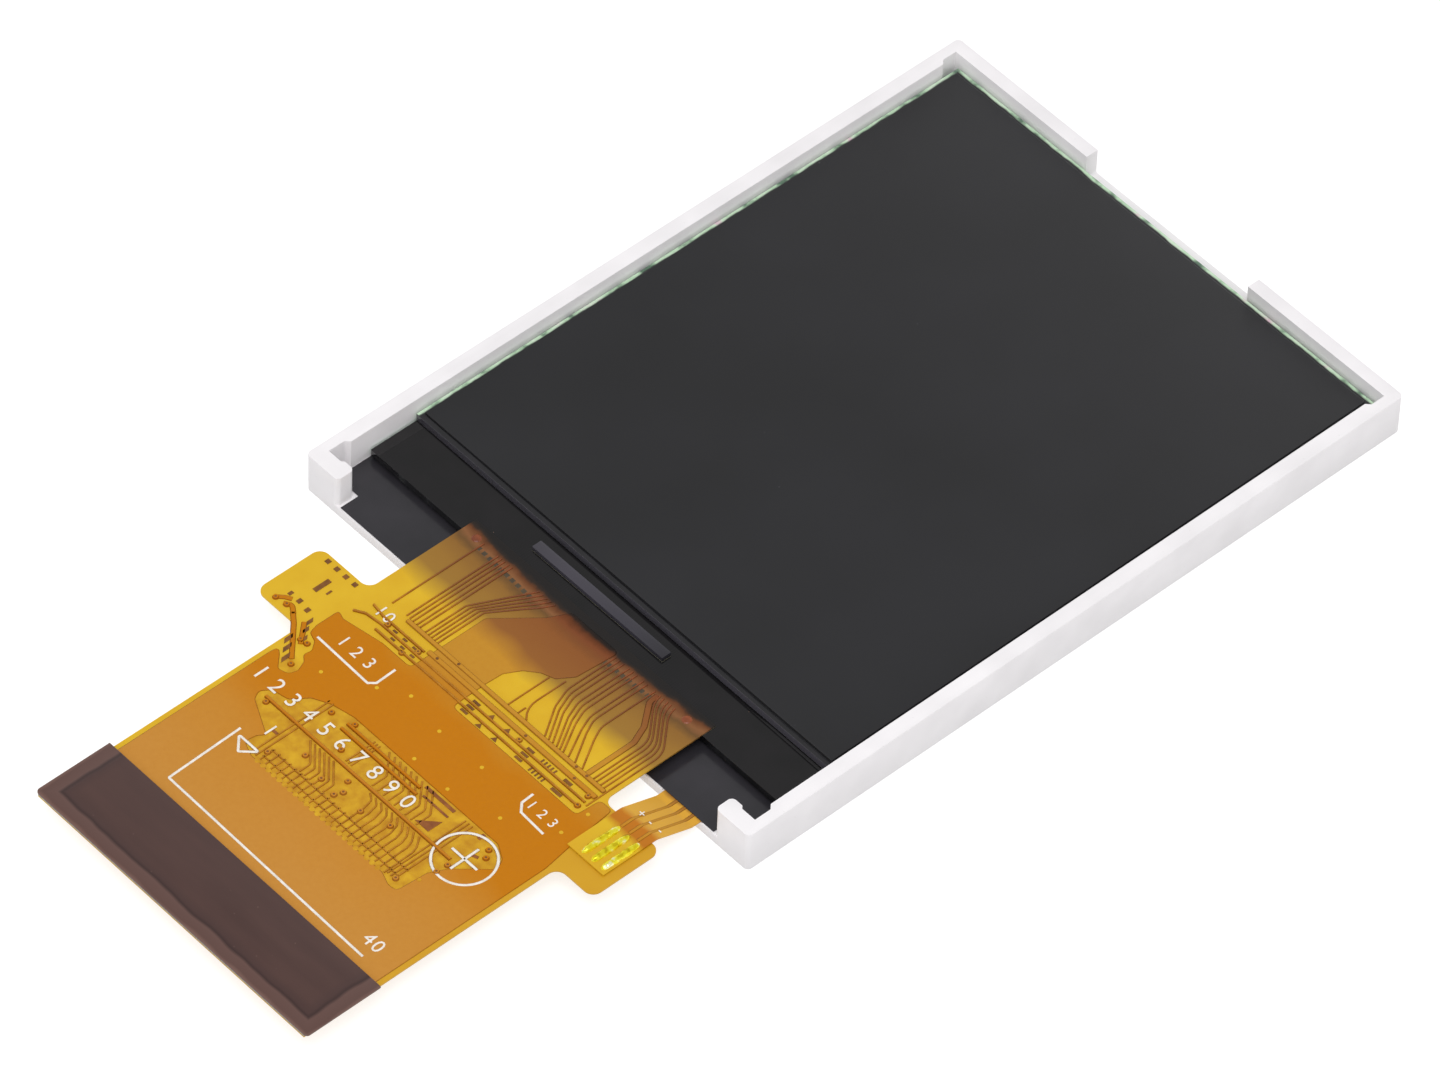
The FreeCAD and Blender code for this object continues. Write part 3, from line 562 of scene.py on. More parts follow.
def covered_track(name):
    """A narrow track under the film, browner than the wide copper and paler in the patch, with painted
    shade on its slopes.
    """
    finish = Finish(name, roughness=0.3, specular=0.2)
    outside = finish.mix(
        finish.span(finish.layout("Y"), -3.0, -2.7),
        finish.clouds(1.5, 3.0, (166, 106, 20), (194, 132, 34)),
        finish.clouds(1.5, 3.0, (158, 96, 20), (186, 122, 30)),
    )
    body = over_tape(
        finish, outside,
        (0.2, (140, 88, 40)), (2.0, (126, 74, 38)), (3.2, (124, 70, 38)), (3.6, (140, 78, 44)),
        (3.9, (92, 52, 30)), (4.05, (44, 32, 26)), (4.25, (28, 25, 25)),
    )
    # Painted shade: a darker tone on the track's slopes
    finish.colour(finish.shaded_on_slopes(body, (222, 206, 186)))
    finish.bump(finish.noise(3.0, 2.0), 0.006, 0.4)
    return finish.material


def plain_finish(name, light, dark, per_mm, **gloss):
    """Two close tones in slow clouds, with a fine relief."""
    finish = Finish(name, **gloss)
    finish.colour(finish.clouds(per_mm, 3.0, dark, light))
    finish.bump(finish.noise(per_mm * 6), 0.003, 0.5)
    return finish.material


def stiffener_film(name, brown):
    """Dark brown film over the contacts: satin, flecked, with a raised rim round its free end, a painted
    highlight along its very edge and painted shade in a dark line at the rim's step.
    """
    finish = Finish(name, roughness=0.36, specular=0.3)
    drag = finish.noise(0.7, 4.0, place=finish.mapped(250, 1500, 1000))
    body = finish.ramp(drag, (0.3, brown), (0.72, scaled(brown, 1.1)))
    low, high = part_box("connector_stiffener")
    left = finish.across("X") - low.x / MM
    right = high.x / MM - finish.across("X")
    near = finish.across("Y") - low.y / MM
    least = finish.math("MINIMUM", finish.math("MINIMUM", left, right), near)
    inside = least + finish.wander(0.4, 1.0, 0.5)
    # Painted highlight at the very edge and painted shade in the dark line where the relief steps; between
    # them a lighter brown border
    rim = finish.ramp(
        finish.span(inside, 0.0, 1.4), (0.0, (112, 84, 76)), (0.12, (94, 68, 62)),
        (0.5, (98, 72, 66)), (0.62, (60, 42, 40)), (0.74, (72, 51, 48)),
    )
    body = finish.mix(finish.span(inside, 0.95, 1.5), rim, body)
    finish.colour(finish.mix(finish.specks(1.1, 0.05) * 0.35, body, (138, 112, 102)))
    finish.roughness(drag, 0.32, 0.42)
    finish.bump(finish.span(inside, 0.7, 1.05), 0.03, 0.6)
    return finish.material


def tail_film(name):
    """The tail's film: paler where it is free, darker where it crosses the edge of the flex below."""
    finish = Finish(name, roughness=0.3, specular=0.25)
    along = finish.layout("Y") + finish.wander(0.8, 2.0, 0.5)
    finish.colour(finish.ramp(
        finish.span(along, -7.0, 1.0), (0.0, (214, 166, 34)), (0.36, (218, 178, 36)),
        (0.42, (186, 112, 20)), (0.5, (190, 114, 22)), (0.56, (220, 166, 50)),
        (0.86, (218, 162, 52)), (0.9, (150, 98, 40)), (1.0, (90, 58, 30)),
    ))
    finish.bump(finish.noise(1.2, 2.0), 0.012, 0.4)
    return finish.material


def solder_painted_reflection(name):
    """Freshly melted solder, coloured yellow as a painted reflection of the amber film round it, with
    painted glints.
    """
    finish = Finish(name, roughness=0.18, metallic=0.6)
    # Painted reflection and glints: yellow for the mirrored amber film, near white for glints
    finish.colour(finish.ramp(
        finish.noise(2.6, 2.0), (0.3, (206, 178, 12)), (0.42, (242, 224, 24)),
        (0.58, (252, 244, 66)), (0.7, (255, 252, 190)),
    ))
    finish.bump(finish.noise(5.0), 0.03, 0.5)
    return finish.material


def gold_plate(name):
    """Thin gold with the marks of wiping."""
    finish = Finish(name, roughness=0.28, metallic=1.0)
    wipe = finish.noise(1.2, 4.0, place=finish.mapped(1600, 300, 1000))
    finish.colour(finish.ramp(wipe, (0.3, (206, 160, 78)), (0.7, (236, 200, 120))))
    finish.bump(wipe, 0.002, 0.5)
    return finish.material


def chip_silicon(name):
    """Polished back of the die: grey with a violet cast that is partly a painted reflection, and a painted
    highlight that makes it lighter towards one end and dark at the other.
    """
    finish = Finish(name, roughness=0.2)
    # Painted highlight along the die: lightest a little left of the middle, fading to dark at the +X end
    drift = finish.across("X") + finish.noise(0.5, 2.0) * 2.0
    finish.colour(finish.ramp(
        finish.span(drift, -6.0, 7.0), (0.0, (60, 58, 64)), (0.35, (67, 64, 73)),
        (0.7, (57, 55, 63)), (1.0, (32, 31, 35)),
    ))
    finish.bump(finish.noise(9.0), 0.001, 0.4)
    return finish.material


# Node trees for what repeats
def new_tree(name, inputs):
    """An empty tree with named inputs. Gives each input's identifier and its value in the graph."""
    tree = bpy.data.node_groups.new(name, "GeometryNodeTree")
    interface = tree.interface
    interface.new_socket("Geometry", in_out="INPUT", socket_type="NodeSocketGeometry")
    keys = {}
    for label, kind, value in inputs:
        socket = interface.new_socket(label, in_out="INPUT", socket_type=f"NodeSocket{kind}")
        if value is not None:
            socket.default_value = value
        keys[label] = socket.identifier
    interface.new_socket("Geometry", in_out="OUTPUT", socket_type="NodeSocketGeometry")
    graph = Graph(tree)
    given = graph.node("NodeGroupInput").outputs
    return tree, keys, graph, {label: Value(graph, given[label]) for label in ("Geometry", *keys)}


def finish_tree(graph, given, geometry):
    """End a tree in real geometry with its finish."""
    real = graph.value("GeometryNodeRealizeInstances", "Geometry", {"Geometry": geometry})
    inputs = {"Geometry": real, "Material": given["Material"]}
    paint = graph.value("GeometryNodeSetMaterial", "Geometry", inputs)
    graph.node("NodeGroupOutput", {"Geometry": paint})


def ridge_tree():
    """Paths swept with a low profile that is narrower at its top, as a track under film stands out.
    The sweep turns the profile head down, so its widths change places."""
    tree, keys, graph, given = new_tree("ridges_along_paths", [
        ("Foot Width", "Float", 0.00014), ("Top Width", "Float", 0.00008),
        ("Height", "Float", 0.00004), ("Bend Radius", "Float", 0.0002), ("Material", "Material", None),
    ])
    line = graph.value("GeometryNodeMeshToCurve", "Curve", {"Mesh": given["Geometry"]})
    bends = graph.value("GeometryNodeFilletCurve", "Curve", {
        "Curve": line, "Radius": given["Bend Radius"], "Count": BEND_STEPS, "Limit Radius": True,
    }, mode="POLY")
    level = graph.value("GeometryNodeSetCurveNormal", "Curve", {"Curve": bends}, mode="Z_UP")
    profile = graph.value("GeometryNodeCurvePrimitiveQuadrilateral", "Curve", {
        "Top Width": given["Foot Width"], "Bottom Width": given["Top Width"],
        "Height": given["Height"], "Offset": 0.0,
    }, mode="TRAPEZOID")
    inputs = {"Curve": level, "Profile Curve": profile, "Fill Caps": True}
    finish_tree(graph, given, graph.value("GeometryNodeCurveToMesh", "Mesh", inputs))
    return tree, keys


def button_tree():
    """A low round button on every point."""
    tree, keys, graph, given = new_tree("buttons_on_points", [
        ("Foot Radius", "Float", 0.00015), ("Top Radius", "Float", 0.0001),
        ("Height", "Float", 0.00003), ("Material", "Material", None),
    ])
    cone = graph.value("GeometryNodeMeshCone", "Mesh", {
        "Vertices": BUTTON_SIDES, "Radius Bottom": given["Foot Radius"],
        "Radius Top": given["Top Radius"], "Depth": given["Height"],
    })
    inputs = {"Points": given["Geometry"], "Instance": cone}
    finish_tree(graph, given, graph.value("GeometryNodeInstanceOnPoints", "Instances", inputs))
    return tree, keys


def grown(base, tree_and_keys, values):
    """The mesh that a tree makes from a base mesh."""
    tree, keys = tree_and_keys
    carrier = bpy.data.objects.new(base.name, base)
    bpy.context.scene.collection.objects.link(carrier)
    modifier = carrier.modifiers.new("shape", "NODES")
    modifier.node_group = tree
    for label, value in values.items():
        modifier[keys[label]] = value
    depsgraph = bpy.context.evaluated_depsgraph_get()
    mesh = bpy.data.meshes.new_from_object(carrier.evaluated_get(depsgraph), depsgraph=depsgraph)
    carrier.modifiers.remove(modifier)
    bpy.data.objects.remove(carrier)
    return closed_mesh(mesh)


def add_ridges(name, paths, look, width, low, high, bend):
    """Tracks or print along paths of the layout, width and bend in millimetres."""
    material, slot = look
    base = paths_mesh(f"{name}_paths", paths, (low + high) / 2)
    mesh = grown(base, ridge_tree(), {
        "Foot Width": width * MM,
        "Top Width": width * RIDGE_TOP * MM,
        "Height": high - low,
        "Bend Radius": bend * MM,
        "Material": material,
    })
    return add_piece(name, mesh, material, slot)


def add_buttons(name, spots, look, radius, low, high):
    """Round spots of the layout as low buttons."""
    material, slot = look
    base = bpy.data.meshes.new(f"{name}_spots")
    base.from_pydata([place(x, y, low) for x, y in spots], [], [])
    mesh = grown(base, button_tree(), {
        "Foot Radius": radius * MM,
        "Top Radius": radius * BUTTON_TOP * MM,
        "Height": high - low,
        "Material": material,
    })
    return add_piece(name, mesh, material, slot)


def about(x, y, side, along):
    """A four-cornered outline about its middle, from the halves of its two sides."""
    middle = Vector((x, y))
    return [middle - side - along, middle + side - along, middle + side + along, middle - side + along]


def block(x, y, width, height, turn=0.0):
    """A small rectangle of the layout, turned by degrees."""
    angle = math.radians(turn)
    across = Vector((math.cos(angle), math.sin(angle)))
    return about(x, y, across * width / 2, across.orthogonal() * height / 2)


def slant(x, y, width, height):
    """A small parallelogram with its ends along Y and its long sides at 45 degrees."""
    return about(x, y, Vector((width, -width)) / 2, Vector((0, height / 2)))


# Layout of the flex circuit, in millimetres from the frame's near left corner
PLANE = [
    (8.25, -24.2), (28.15, -24.2), (28.15, -8.3), (27.75, -5.6), (27.5, -3.3), (26.6, -3.3),
    (26.5, -4.85), (17.1, -4.85), (17.05, -2.6), (17.1, -1.5), (17.6, -0.6), (18.3, 0.0), (19.1, 0.3),
    (19.7, 1.2), (19.9, 3.9), (16.3, 3.9), (15.7, 2.7), (13.7, 0.3), (13.7, -4.75), (11.6, -4.75),
    (9.0, -5.2), (8.45, -5.0), (8.45, -6.5), (8.6, -7.1), (9.2, -7.3), (9.6, -7.8), (9.5, -8.3),
    (9.9, -8.6), (10.15, -9.2), (10.0, -9.7), (9.4, -9.9), (8.25, -8.7),
]
FAN_PATCH = [
    (10.3, -11.05), (11.3, -10.85), (12.0, -9.9), (13.0, -9.4), (14.4, -9.1), (25.4, -9.1), (26.3, -9.6),
    (26.6, -10.2), (25.0, -12.0), (24.5, -13.0), (24.35, -14.9), (23.8, -14.95), (23.0, -14.65),
    (12.9, -14.65), (12.0, -14.3), (12.1, -13.6), (12.4, -13.2), (10.2, -12.1), (9.9, -11.6),
]
JUMPERS = [
    [(11.2, -2.95), (26.35, -2.95), (26.35, -2.65), (11.2, -2.65)],
    [(13.5, -3.55), (26.35, -3.55), (26.35, -3.22), (13.5, -3.22)],
]
NECK_LEFT_TRACKS = [
    [(x, 3.6), (x, -2.62)] for x in (9.83, 10.95, 11.2, 11.45, 11.75, 12.0)
]
NECK_FAN_TRACKS = [
    [(start, 3.6), (start - 0.3, 3.0), (end, 0.5 - 0.1 * i), (end, -2.62)]
    for i, start, end in [(i, 15.35 - 0.3 * i, 13.38 - 0.24 * i) for i in range(5)]
]
BUNDLE = (
    (20.0, 21.6), (20.3, 21.9), (20.6, 22.2), (21.0, 22.5), (21.3, 22.75), (21.6, 23.0), (22.1, 23.4),
    (22.4, 23.9), (23.0, 24.45),
)
BUNDLE_TRACKS = [
    [(start, 3.6), (start, 0.3 - 0.05 * i), (start + (end - start) * 0.28, -0.9), (end, -2.62)]
    for i, (start, end) in enumerate(BUNDLE)
]
EDGE_TRACKS = [
    [(x - 1.9, 3.6), (x - 1.75, 3.0), (x, 1.1), (x, end)]
    for x, end in ((25.3, -2.62), (25.55, -2.62), (25.85, -2.62), (26.1, -2.62), (26.4, -4.1))
]
MOON_TRACKS = [
    [(18.8, 0.15), (18.8, -2.62)], [(19.55, 0.6), (19.55, -2.1), (20.2, -2.62)],
    [(19.55, -2.1), (19.55, -2.62)],
]
WIDE_TRACKS = [[(23.3, 3.5), (23.35, 2.9), (24.4, 1.6), (24.85, 0.5), (24.85, -2.7)]]
JUMPER_LINES = [
    [(8.9, -4.45), (9.5, -4.1), (10.5, -3.98), (26.2, -3.98)], [(10.6, -4.42), (26.2, -4.42)],
    [(9.3, -3.4), (10.2, -3.55), (13.4, -3.55)],
]
TAB_TRACKS = [
    [(7.0, -6.85), (7.6, -7.3), (9.35, -8.95)], [(7.9, -6.85), (8.9, -7.95)],
    [(5.6, -6.85), (5.95, -6.5), (6.3, -6.3)], [(6.2, -6.8), (6.6, -6.55), (7.1, -6.9)],
]
TAB_BLOCKS = [
    *[block(x, -3.25, 0.28, 0.28) for x in (5.55, 6.25, 6.95, 7.65)],
    block(6.6, -4.55, 0.3, 1.05), block(7.2, -4.6, 0.12, 0.36),
    block(5.95, -6.1, 0.2, 0.3), block(6.65, -6.1, 0.26, 0.32), block(7.38, -6.2, 0.26, 0.32),
    *[slant(x, y, 0.24, 0.6) for x, y in ((8.2, -8.15), (8.62, -8.6), (9.08, -9.1))],
    *[slant(x, y, 0.2, 0.44) for x, y in ((8.05, -6.62), (8.35, -7.15), (8.75, -7.6))],
]
WINDOW_BLOCKS = [
    *[block(x, y, 0.5, 0.16) for x in (17.7, 21.85) for y in (-3.78, -4.2)],
    *[block(x, -4.62, 0.5, 0.16) for x in (17.7, 21.85)],
    *[block(22.75 + 0.24 * i, -3.78, 0.1, 0.24) for i in range(5)],
    *[block(22.75 + 0.24 * i, -4.62, 0.1, 0.26) for i in range(5)],
    block(24.65, -3.76, 0.55, 0.2), block(24.75, -4.63, 0.75, 0.2),
    *[
        [(x - 0.2, y - 0.14), (x + 0.2, y - 0.14), (x, y + 0.16)]
        for x in (18.9, 20.1) for y in (-3.78, -4.65)
    ],
    *[block(11.4 + 0.75 * i, -3.76, 0.3, 0.13) for i in range(3)],
    *[block(11.7 + 0.75 * i, -4.2, 0.3, 0.13) for i in range(3)],
]
PATCH_BLOCKS = [
    block(21.3, -9.35, 2.2, 0.2), block(21.5, -9.84, 1.9, 0.13),
    [(21.5, -11.2), (22.5, -11.2), (22.5, -10.25)], block(24.5, -9.4, 0.2, 0.42),
    block(12.5, -12.75, 0.5, 0.16), block(25.2, -10.5, 0.5, 0.18, 20),
]
PATCH_WIDE_TRACKS = [
    [(10.4, -11.55), (24.6, -11.55)], [(14.5, -9.62), (20.1, -9.62)], [(14.5, -10.05), (20.3, -10.05)],
]
PATCH_TRACKS = [
    [(13.3, -13.62), (23.8, -13.62)], [(13.3, -14.2), (23.7, -14.2)],
    *[[(x, -9.3), (x, -14.5)] for x in (12.75, 13.05, 23.2, 23.45, 23.7)],
    *[[(16.3 + 0.2 * i, -9.35), (16.3 + 0.2 * i, -11.3)] for i in range(3)],
]
PATCH_VERTICALS = [[(13.4 + 0.42 * i, -13.5), (13.4 + 0.42 * i, -14.6)] for i in range(24)]
PATCH_ENDS = [(13.4 + 0.42 * i, -14.66) for i in range(23)]
PATCH_DIAGONALS = [
    *[[(17.3 + 0.42 * i, -9.25), (18.4 + 0.42 * i, -10.4), (18.4 + 0.42 * i, -11.35)] for i in range(9)],
    *[[(14.1 + 0.36 * i, -11.75), (15.3 + 0.36 * i, -12.8), (15.3 + 0.36 * i, -13.5)] for i in range(6)],
]
PATCH_ARCS = [
    [(x, -11.75), (x + 0.4, -12.0 - 0.03 * i), (x + 0.55, -12.7), (x + 0.55, -13.5)]
    for i, x in [(i, 18.7 + 0.42 * i) for i in range(10)]
]
PATCH_FINE_TRACKS = PATCH_TRACKS + PATCH_VERTICALS + PATCH_DIAGONALS + PATCH_ARCS
FILM_VIAS = [
    (10.7, -11.8), (24.8, -11.9), (13.3, -13.9), (23.75, -14.42), (14.7, -12.6), (16.4, -13.0),
    (17.4, -12.1), (17.8, -12.75), (17.6, -13.2), (14.8, -9.4), (13.4, -9.75), (25.4, -9.7),
    (25.7, -10.15), (24.75, -12.6), (26.0, -3.6), (26.1, -4.4), (5.65, -6.85), (6.4, -6.75),
    (8.65, -7.75), (9.1, -7.7), (9.6, -9.2), (10.8, -3.75), (12.7, -4.45), (13.2, -3.8),
    (20.95, -3.78), (15.6, -11.0), (19.3, -12.9), (21.0, -12.4),
]
PLANE_VIAS = [
    (11.0, -8.4), (13.65, -6.95), (17.9, -6.45), (21.1, -6.4), (18.45, -8.6), (21.05, -8.65), (24.2, -7.9),
    (26.9, -6.2), (26.9, -4.4), (15.2, -6.0), (24.6, -13.6),
]
JUMPER_VIAS = [(21.0, -3.38), (24.7, -3.38), (24.2, -2.8), (25.0, -2.8), (14.2, -3.38), (15.2, -2.8)]
BOND_BLOBS = [(9.3, 3.55), (25.45, 3.55)]
BOND_WINDOWS = [
    block(x, 3.3 - BOND_BOW * (1 - ((x - 17.0) / BOND_HALF_WIDTH) ** 2), 0.27, 0.26)
    for x in [9.9 + 0.46 * i for i in range(10)] + [19.3 + 0.46 * i for i in range(10)]
]
PRINT_RING = [
    (25.05 + 1.7 * math.cos(i * math.pi / 24), -11.0 + 1.7 * math.sin(i * math.pi / 24))
    for i in range(48)
]
PRINT_LINES = [
    [(11.2, -13.9), (11.35, -18.75), (26.5, -18.95)],
    [(11.5, -14.25), (13.0, -14.25), (12.3, -15.0), (11.5, -14.25)],
    [(9.1, -7.0), (13.1, -7.1), (13.4, -6.75), (13.35, -5.45)],
    [(24.1, -5.6), (24.15, -6.4), (24.6, -6.85), (26.4, -6.95)],
    PRINT_RING + PRINT_RING[:1], [(24.1, -11.0), (26.0, -11.0)], [(25.05, -11.95), (25.05, -10.05)],
]
# Text, middle and height of each printed sign
PRINT_SIGNS = [
    ("1 2 3 4 5 6 7 8 9 0", 14.7, -10.74, 0.95), ("1", 12.3, -12.9, 0.8), ("40", 26.2, -18.0, 0.8),
    ("1 2 3", 11.2, -6.2, 0.75), ("10", 10.2, -3.45, 0.75), ("1 2 3", 25.4, -6.15, 0.6),
    ("+", 28.62, -2.35, 0.5), ("-", 29.35, -2.35, 0.5), ("-", 30.08, -2.35, 0.5),
]
TAIL_TRACKS_X = (28.62, 29.22, 29.86)


class DisplayModuleLooks(bpy.types.PropertyGroup):
    """Sizes and colours of the module's finish."""

    frame_edge: bpy.props.FloatProperty(
        name="Frame Edge", description="Rounding of the moulded frame's edges",
        default=0.00009, min=0.00001, max=0.0003, unit="LENGTH",
    )
    film_edge: bpy.props.FloatProperty(
        name="Relief Edge", description="Width of the slope at the edge of copper under film",
        default=0.00006, min=0.000005, max=0.0001, unit="LENGTH",
    )
    film_rise: bpy.props.FloatProperty(
        name="Film Rise", description="Thickness of the bare film over the base film",
        default=0.000012, min=0.000002, max=0.00004, unit="LENGTH",
    )
    jumper_rise: bpy.props.FloatProperty(
        name="Jumper Rise", description="How far the cross tracks stand above the copper plane",
        default=0.000055, min=0.0, max=0.0001, unit="LENGTH",
    )
    print_rise: bpy.props.FloatProperty(
        name="Print Rise", description="Thickness of the white print",
        default=0.000012, min=0.000004, max=0.00005, unit="LENGTH",
    )
    frame_white: bpy.props.FloatVectorProperty(
        name="Frame White", description="Colour of the frame", default=shares(246, 243, 245),
        min=0.0, max=1.0, subtype="COLOR_GAMMA",
    )
    film_yellow: bpy.props.FloatVectorProperty(
        name="Film Yellow", description="Colour of bare film", default=shares(222, 180, 38),
        min=0.0, max=1.0, subtype="COLOR_GAMMA",
    )
    copper_orange: bpy.props.FloatVectorProperty(
        name="Copper Orange", description="Colour of copper under film", default=shares(194, 119, 10),
        min=0.0, max=1.0, subtype="COLOR_GAMMA",
    )
    stiffener_brown: bpy.props.FloatVectorProperty(
        name="Stiffener Brown", description="Colour of the stiffener", default=shares(74, 52, 48),
        min=0.0, max=1.0, subtype="COLOR_GAMMA",
    )
    glass_tone: bpy.props.FloatVectorProperty(
        name="Picture Tone", description="Colour of the dark picture", default=shares(34, 34, 37),
        min=0.0, max=1.0, subtype="COLOR_GAMMA",
    )
    tape_tone: bpy.props.FloatVectorProperty(
        name="Tape Tone", description="Colour of the black tape", default=shares(40, 39, 43),
        min=0.0, max=1.0, subtype="COLOR_GAMMA",
    )


class StageSettings(bpy.types.PropertyGroup):
    """Camera and light."""

    azimuth: bpy.props.FloatProperty(
        name="Azimuth", description="Camera's direction round the module",
        default=math.radians(46.314), subtype="ANGLE",
    )
    elevation: bpy.props.FloatProperty(
        name="Elevation", description="Camera's height above the horizon",
        default=math.radians(48.409), subtype="ANGLE",
    )
    roll: bpy.props.FloatProperty(
        name="Roll", description="Camera's tilt about its line of sight",
        default=math.radians(2.27), subtype="ANGLE",
    )
    distance: bpy.props.FloatProperty(
        name="Distance", description="From the frame's corner back to the camera",
        default=0.554696, unit="LENGTH",
    )
    offset: bpy.props.FloatVectorProperty(
        name="Offset", description="The camera's place to the right of and above the corner", size=2,
        default=(0.0213686, -0.0027087), unit="LENGTH",
    )
    lens: bpy.props.FloatProperty(
        name="Lens", description="Focal length in millimetres", default=268.7, unit="CAMERA",
    )
    key_power: bpy.props.FloatProperty(
        name="Key Power", description="Power of the large soft lamp", default=0.85, unit="POWER",
    )
    surround: bpy.props.FloatProperty(
        name="Surround", description="Strength of the light from all round", default=0.7, min=0.0,
        subtype="FACTOR",
    )


# Finishes that several pieces share, made once
def shared(name, make, *values):
    return bpy.data.materials.get(name) or make(name, *values)


def film_look(looks):
    return shared("amber_film", bare_film, eight_bit(looks.film_yellow)), "flex_amber"


def copper_look(looks):
    return shared("copper_under_film", covered_copper, eight_bit(looks.copper_orange)), "flex_amber"


def track_look():
    return shared("track_under_film", covered_track), "flex_amber"


def mark_look():
    material = shared("dark_marks", plain_finish, (142, 88, 22), (108, 64, 14), 2.0)
    return material, "copper"


def print_look():
    material = shared("white_print", plain_finish, (246, 240, 232), (226, 218, 206), 3.0)
    return material, "flex_amber"


class DISPLAY_OT_frame(bpy.types.Operator):
    """White moulded frame with softened edges"""

    bl_idname = "display.frame"
    bl_label = "Frame"

    def execute(self, context):
        looks = context.scene.display_looks
        white = frame_plastic("frame_white_plastic", eight_bit(looks.frame_white))
        softened("backlight_frame", "moulded_frame", white, "frame_white", looks.frame_edge, 3)
        return {"FINISHED"}


class DISPLAY_OT_backlight(bpy.types.Operator):
    """Backlight sheets, lamps and the black tape"""

    bl_idname = "display.backlight"
    bl_label = "Backlight and Tape"

    def execute(self, context):
        looks = context.scene.display_looks
        sheets = (
            ("reflector_sheet", "reflector", (230, 230, 232), (223, 223, 226), dict(roughness=0.25)),
            ("light_guide_plate", "guide", (226, 232, 232), (212, 220, 220), dict(roughness=0.12)),
            ("diffuser_sheet", "diffuser", (236, 236, 236), (224, 224, 226), dict(roughness=0.5)),
            ("lower_prism_sheet", "prism", (222, 226, 228), (206, 212, 216), dict(roughness=0.2)),
            ("upper_prism_sheet", "prism", (222, 226, 228), (206, 212, 216), dict(roughness=0.2)),
            ("led_1", "lamp_case", (232, 230, 206), (220, 214, 160), dict(roughness=0.35)),
            ("led_2", "lamp_case", (232, 230, 206), (220, 214, 160), dict(roughness=0.35)),
            ("rear_polarizer", "rear_film", (40, 40, 44), (30, 30, 34), dict(roughness=0.3)),
        )
        for node, name, light, dark, gloss in sheets:
            dress(node, bpy.data.materials.get(name) or plain_finish(name, light, dark, 0.6, **gloss))
        dress("light_shield_tape", black_tape("black_tape", eight_bit(looks.tape_tone)))
        return {"FINISHED"}


class DISPLAY_OT_cell(bpy.types.Operator):
    """Glass, polarizer, seal and driver chip"""

    bl_idname = "display.cell"
    bl_label = "Display Cell"

    def execute(self, context):
        looks = context.scene.display_looks
        softened("array_glass", "lower_glass", ledge_glass("ledge_glass"), "cell_glass", GLASS_EDGE)
        softened("colour_filter_glass", "upper_glass", glass_edge("upper_glass"), "cell_glass", GLASS_EDGE)
        film = polarizer_film("polarizer", eight_bit(looks.glass_tone))
        softened("front_polarizer", "polarizer_sheet", film, "polarizer_dark", SHEET_EDGE)
        softened("driver_chip", "chip", chip_silicon("die_back"), "chip_silicon", CHIP_EDGE)
        hidden = plain_finish("cell_inside", (30, 30, 32), (22, 22, 24), 0.8, roughness=0.4)
        glue = plain_finish("bond_film", (120, 118, 100), (92, 90, 76), 1.2, roughness=0.35)
        for node in ("cell_seal", "liquid_crystal_layer"):
            dress(node, hidden)
        for node in ("chip_bond_film", "flex_bond_film"):
            dress(node, glue)
        return {"FINISHED"}


class DISPLAY_OT_flex(bpy.types.Operator):
    """Amber films, the copper that shows through them and the wide cross tracks"""

    bl_idname = "display.flex"
    bl_label = "Flex Films and Copper"

    def execute(self, context):
        looks = context.scene.display_looks
        film, slot = film_look(looks)
        film_mesh = merged_copy("flex_base_film", "bare_film")
        film_top = BASE_TOP + looks.film_rise
        middle = (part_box("flex_base_film")[0].z + BASE_TOP) / 2
        for vertex in film_mesh.vertices:
            vertex.co.z = film_top if vertex.co.z > middle else BASE_TOP
        film_mesh.shade_flat()
        nodes = ("flex_top_coverlay", "flex_ground_plane", "signal_tracks")
        add_piece("top_film", film_mesh, film, slot, nodes)
        for node in ("flex_base_film", "flex_bottom_coverlay"):
            dress(node, film)
        copper = copper_look(looks)
        slope = looks.film_edge / MM
        outlines = [rounded(PLANE, 0.3), rounded(FAN_PATCH, 0.35)]
        add_area("covered_plane", outlines, copper, BASE_TOP, COPPER_TOP, slope)
        bars = [rounded(bar, 0.1) for bar in JUMPERS]
        add_area("cross_jumpers", bars, copper, BASE_TOP, COPPER_TOP + looks.jumper_rise, slope)
        return {"FINISHED"}


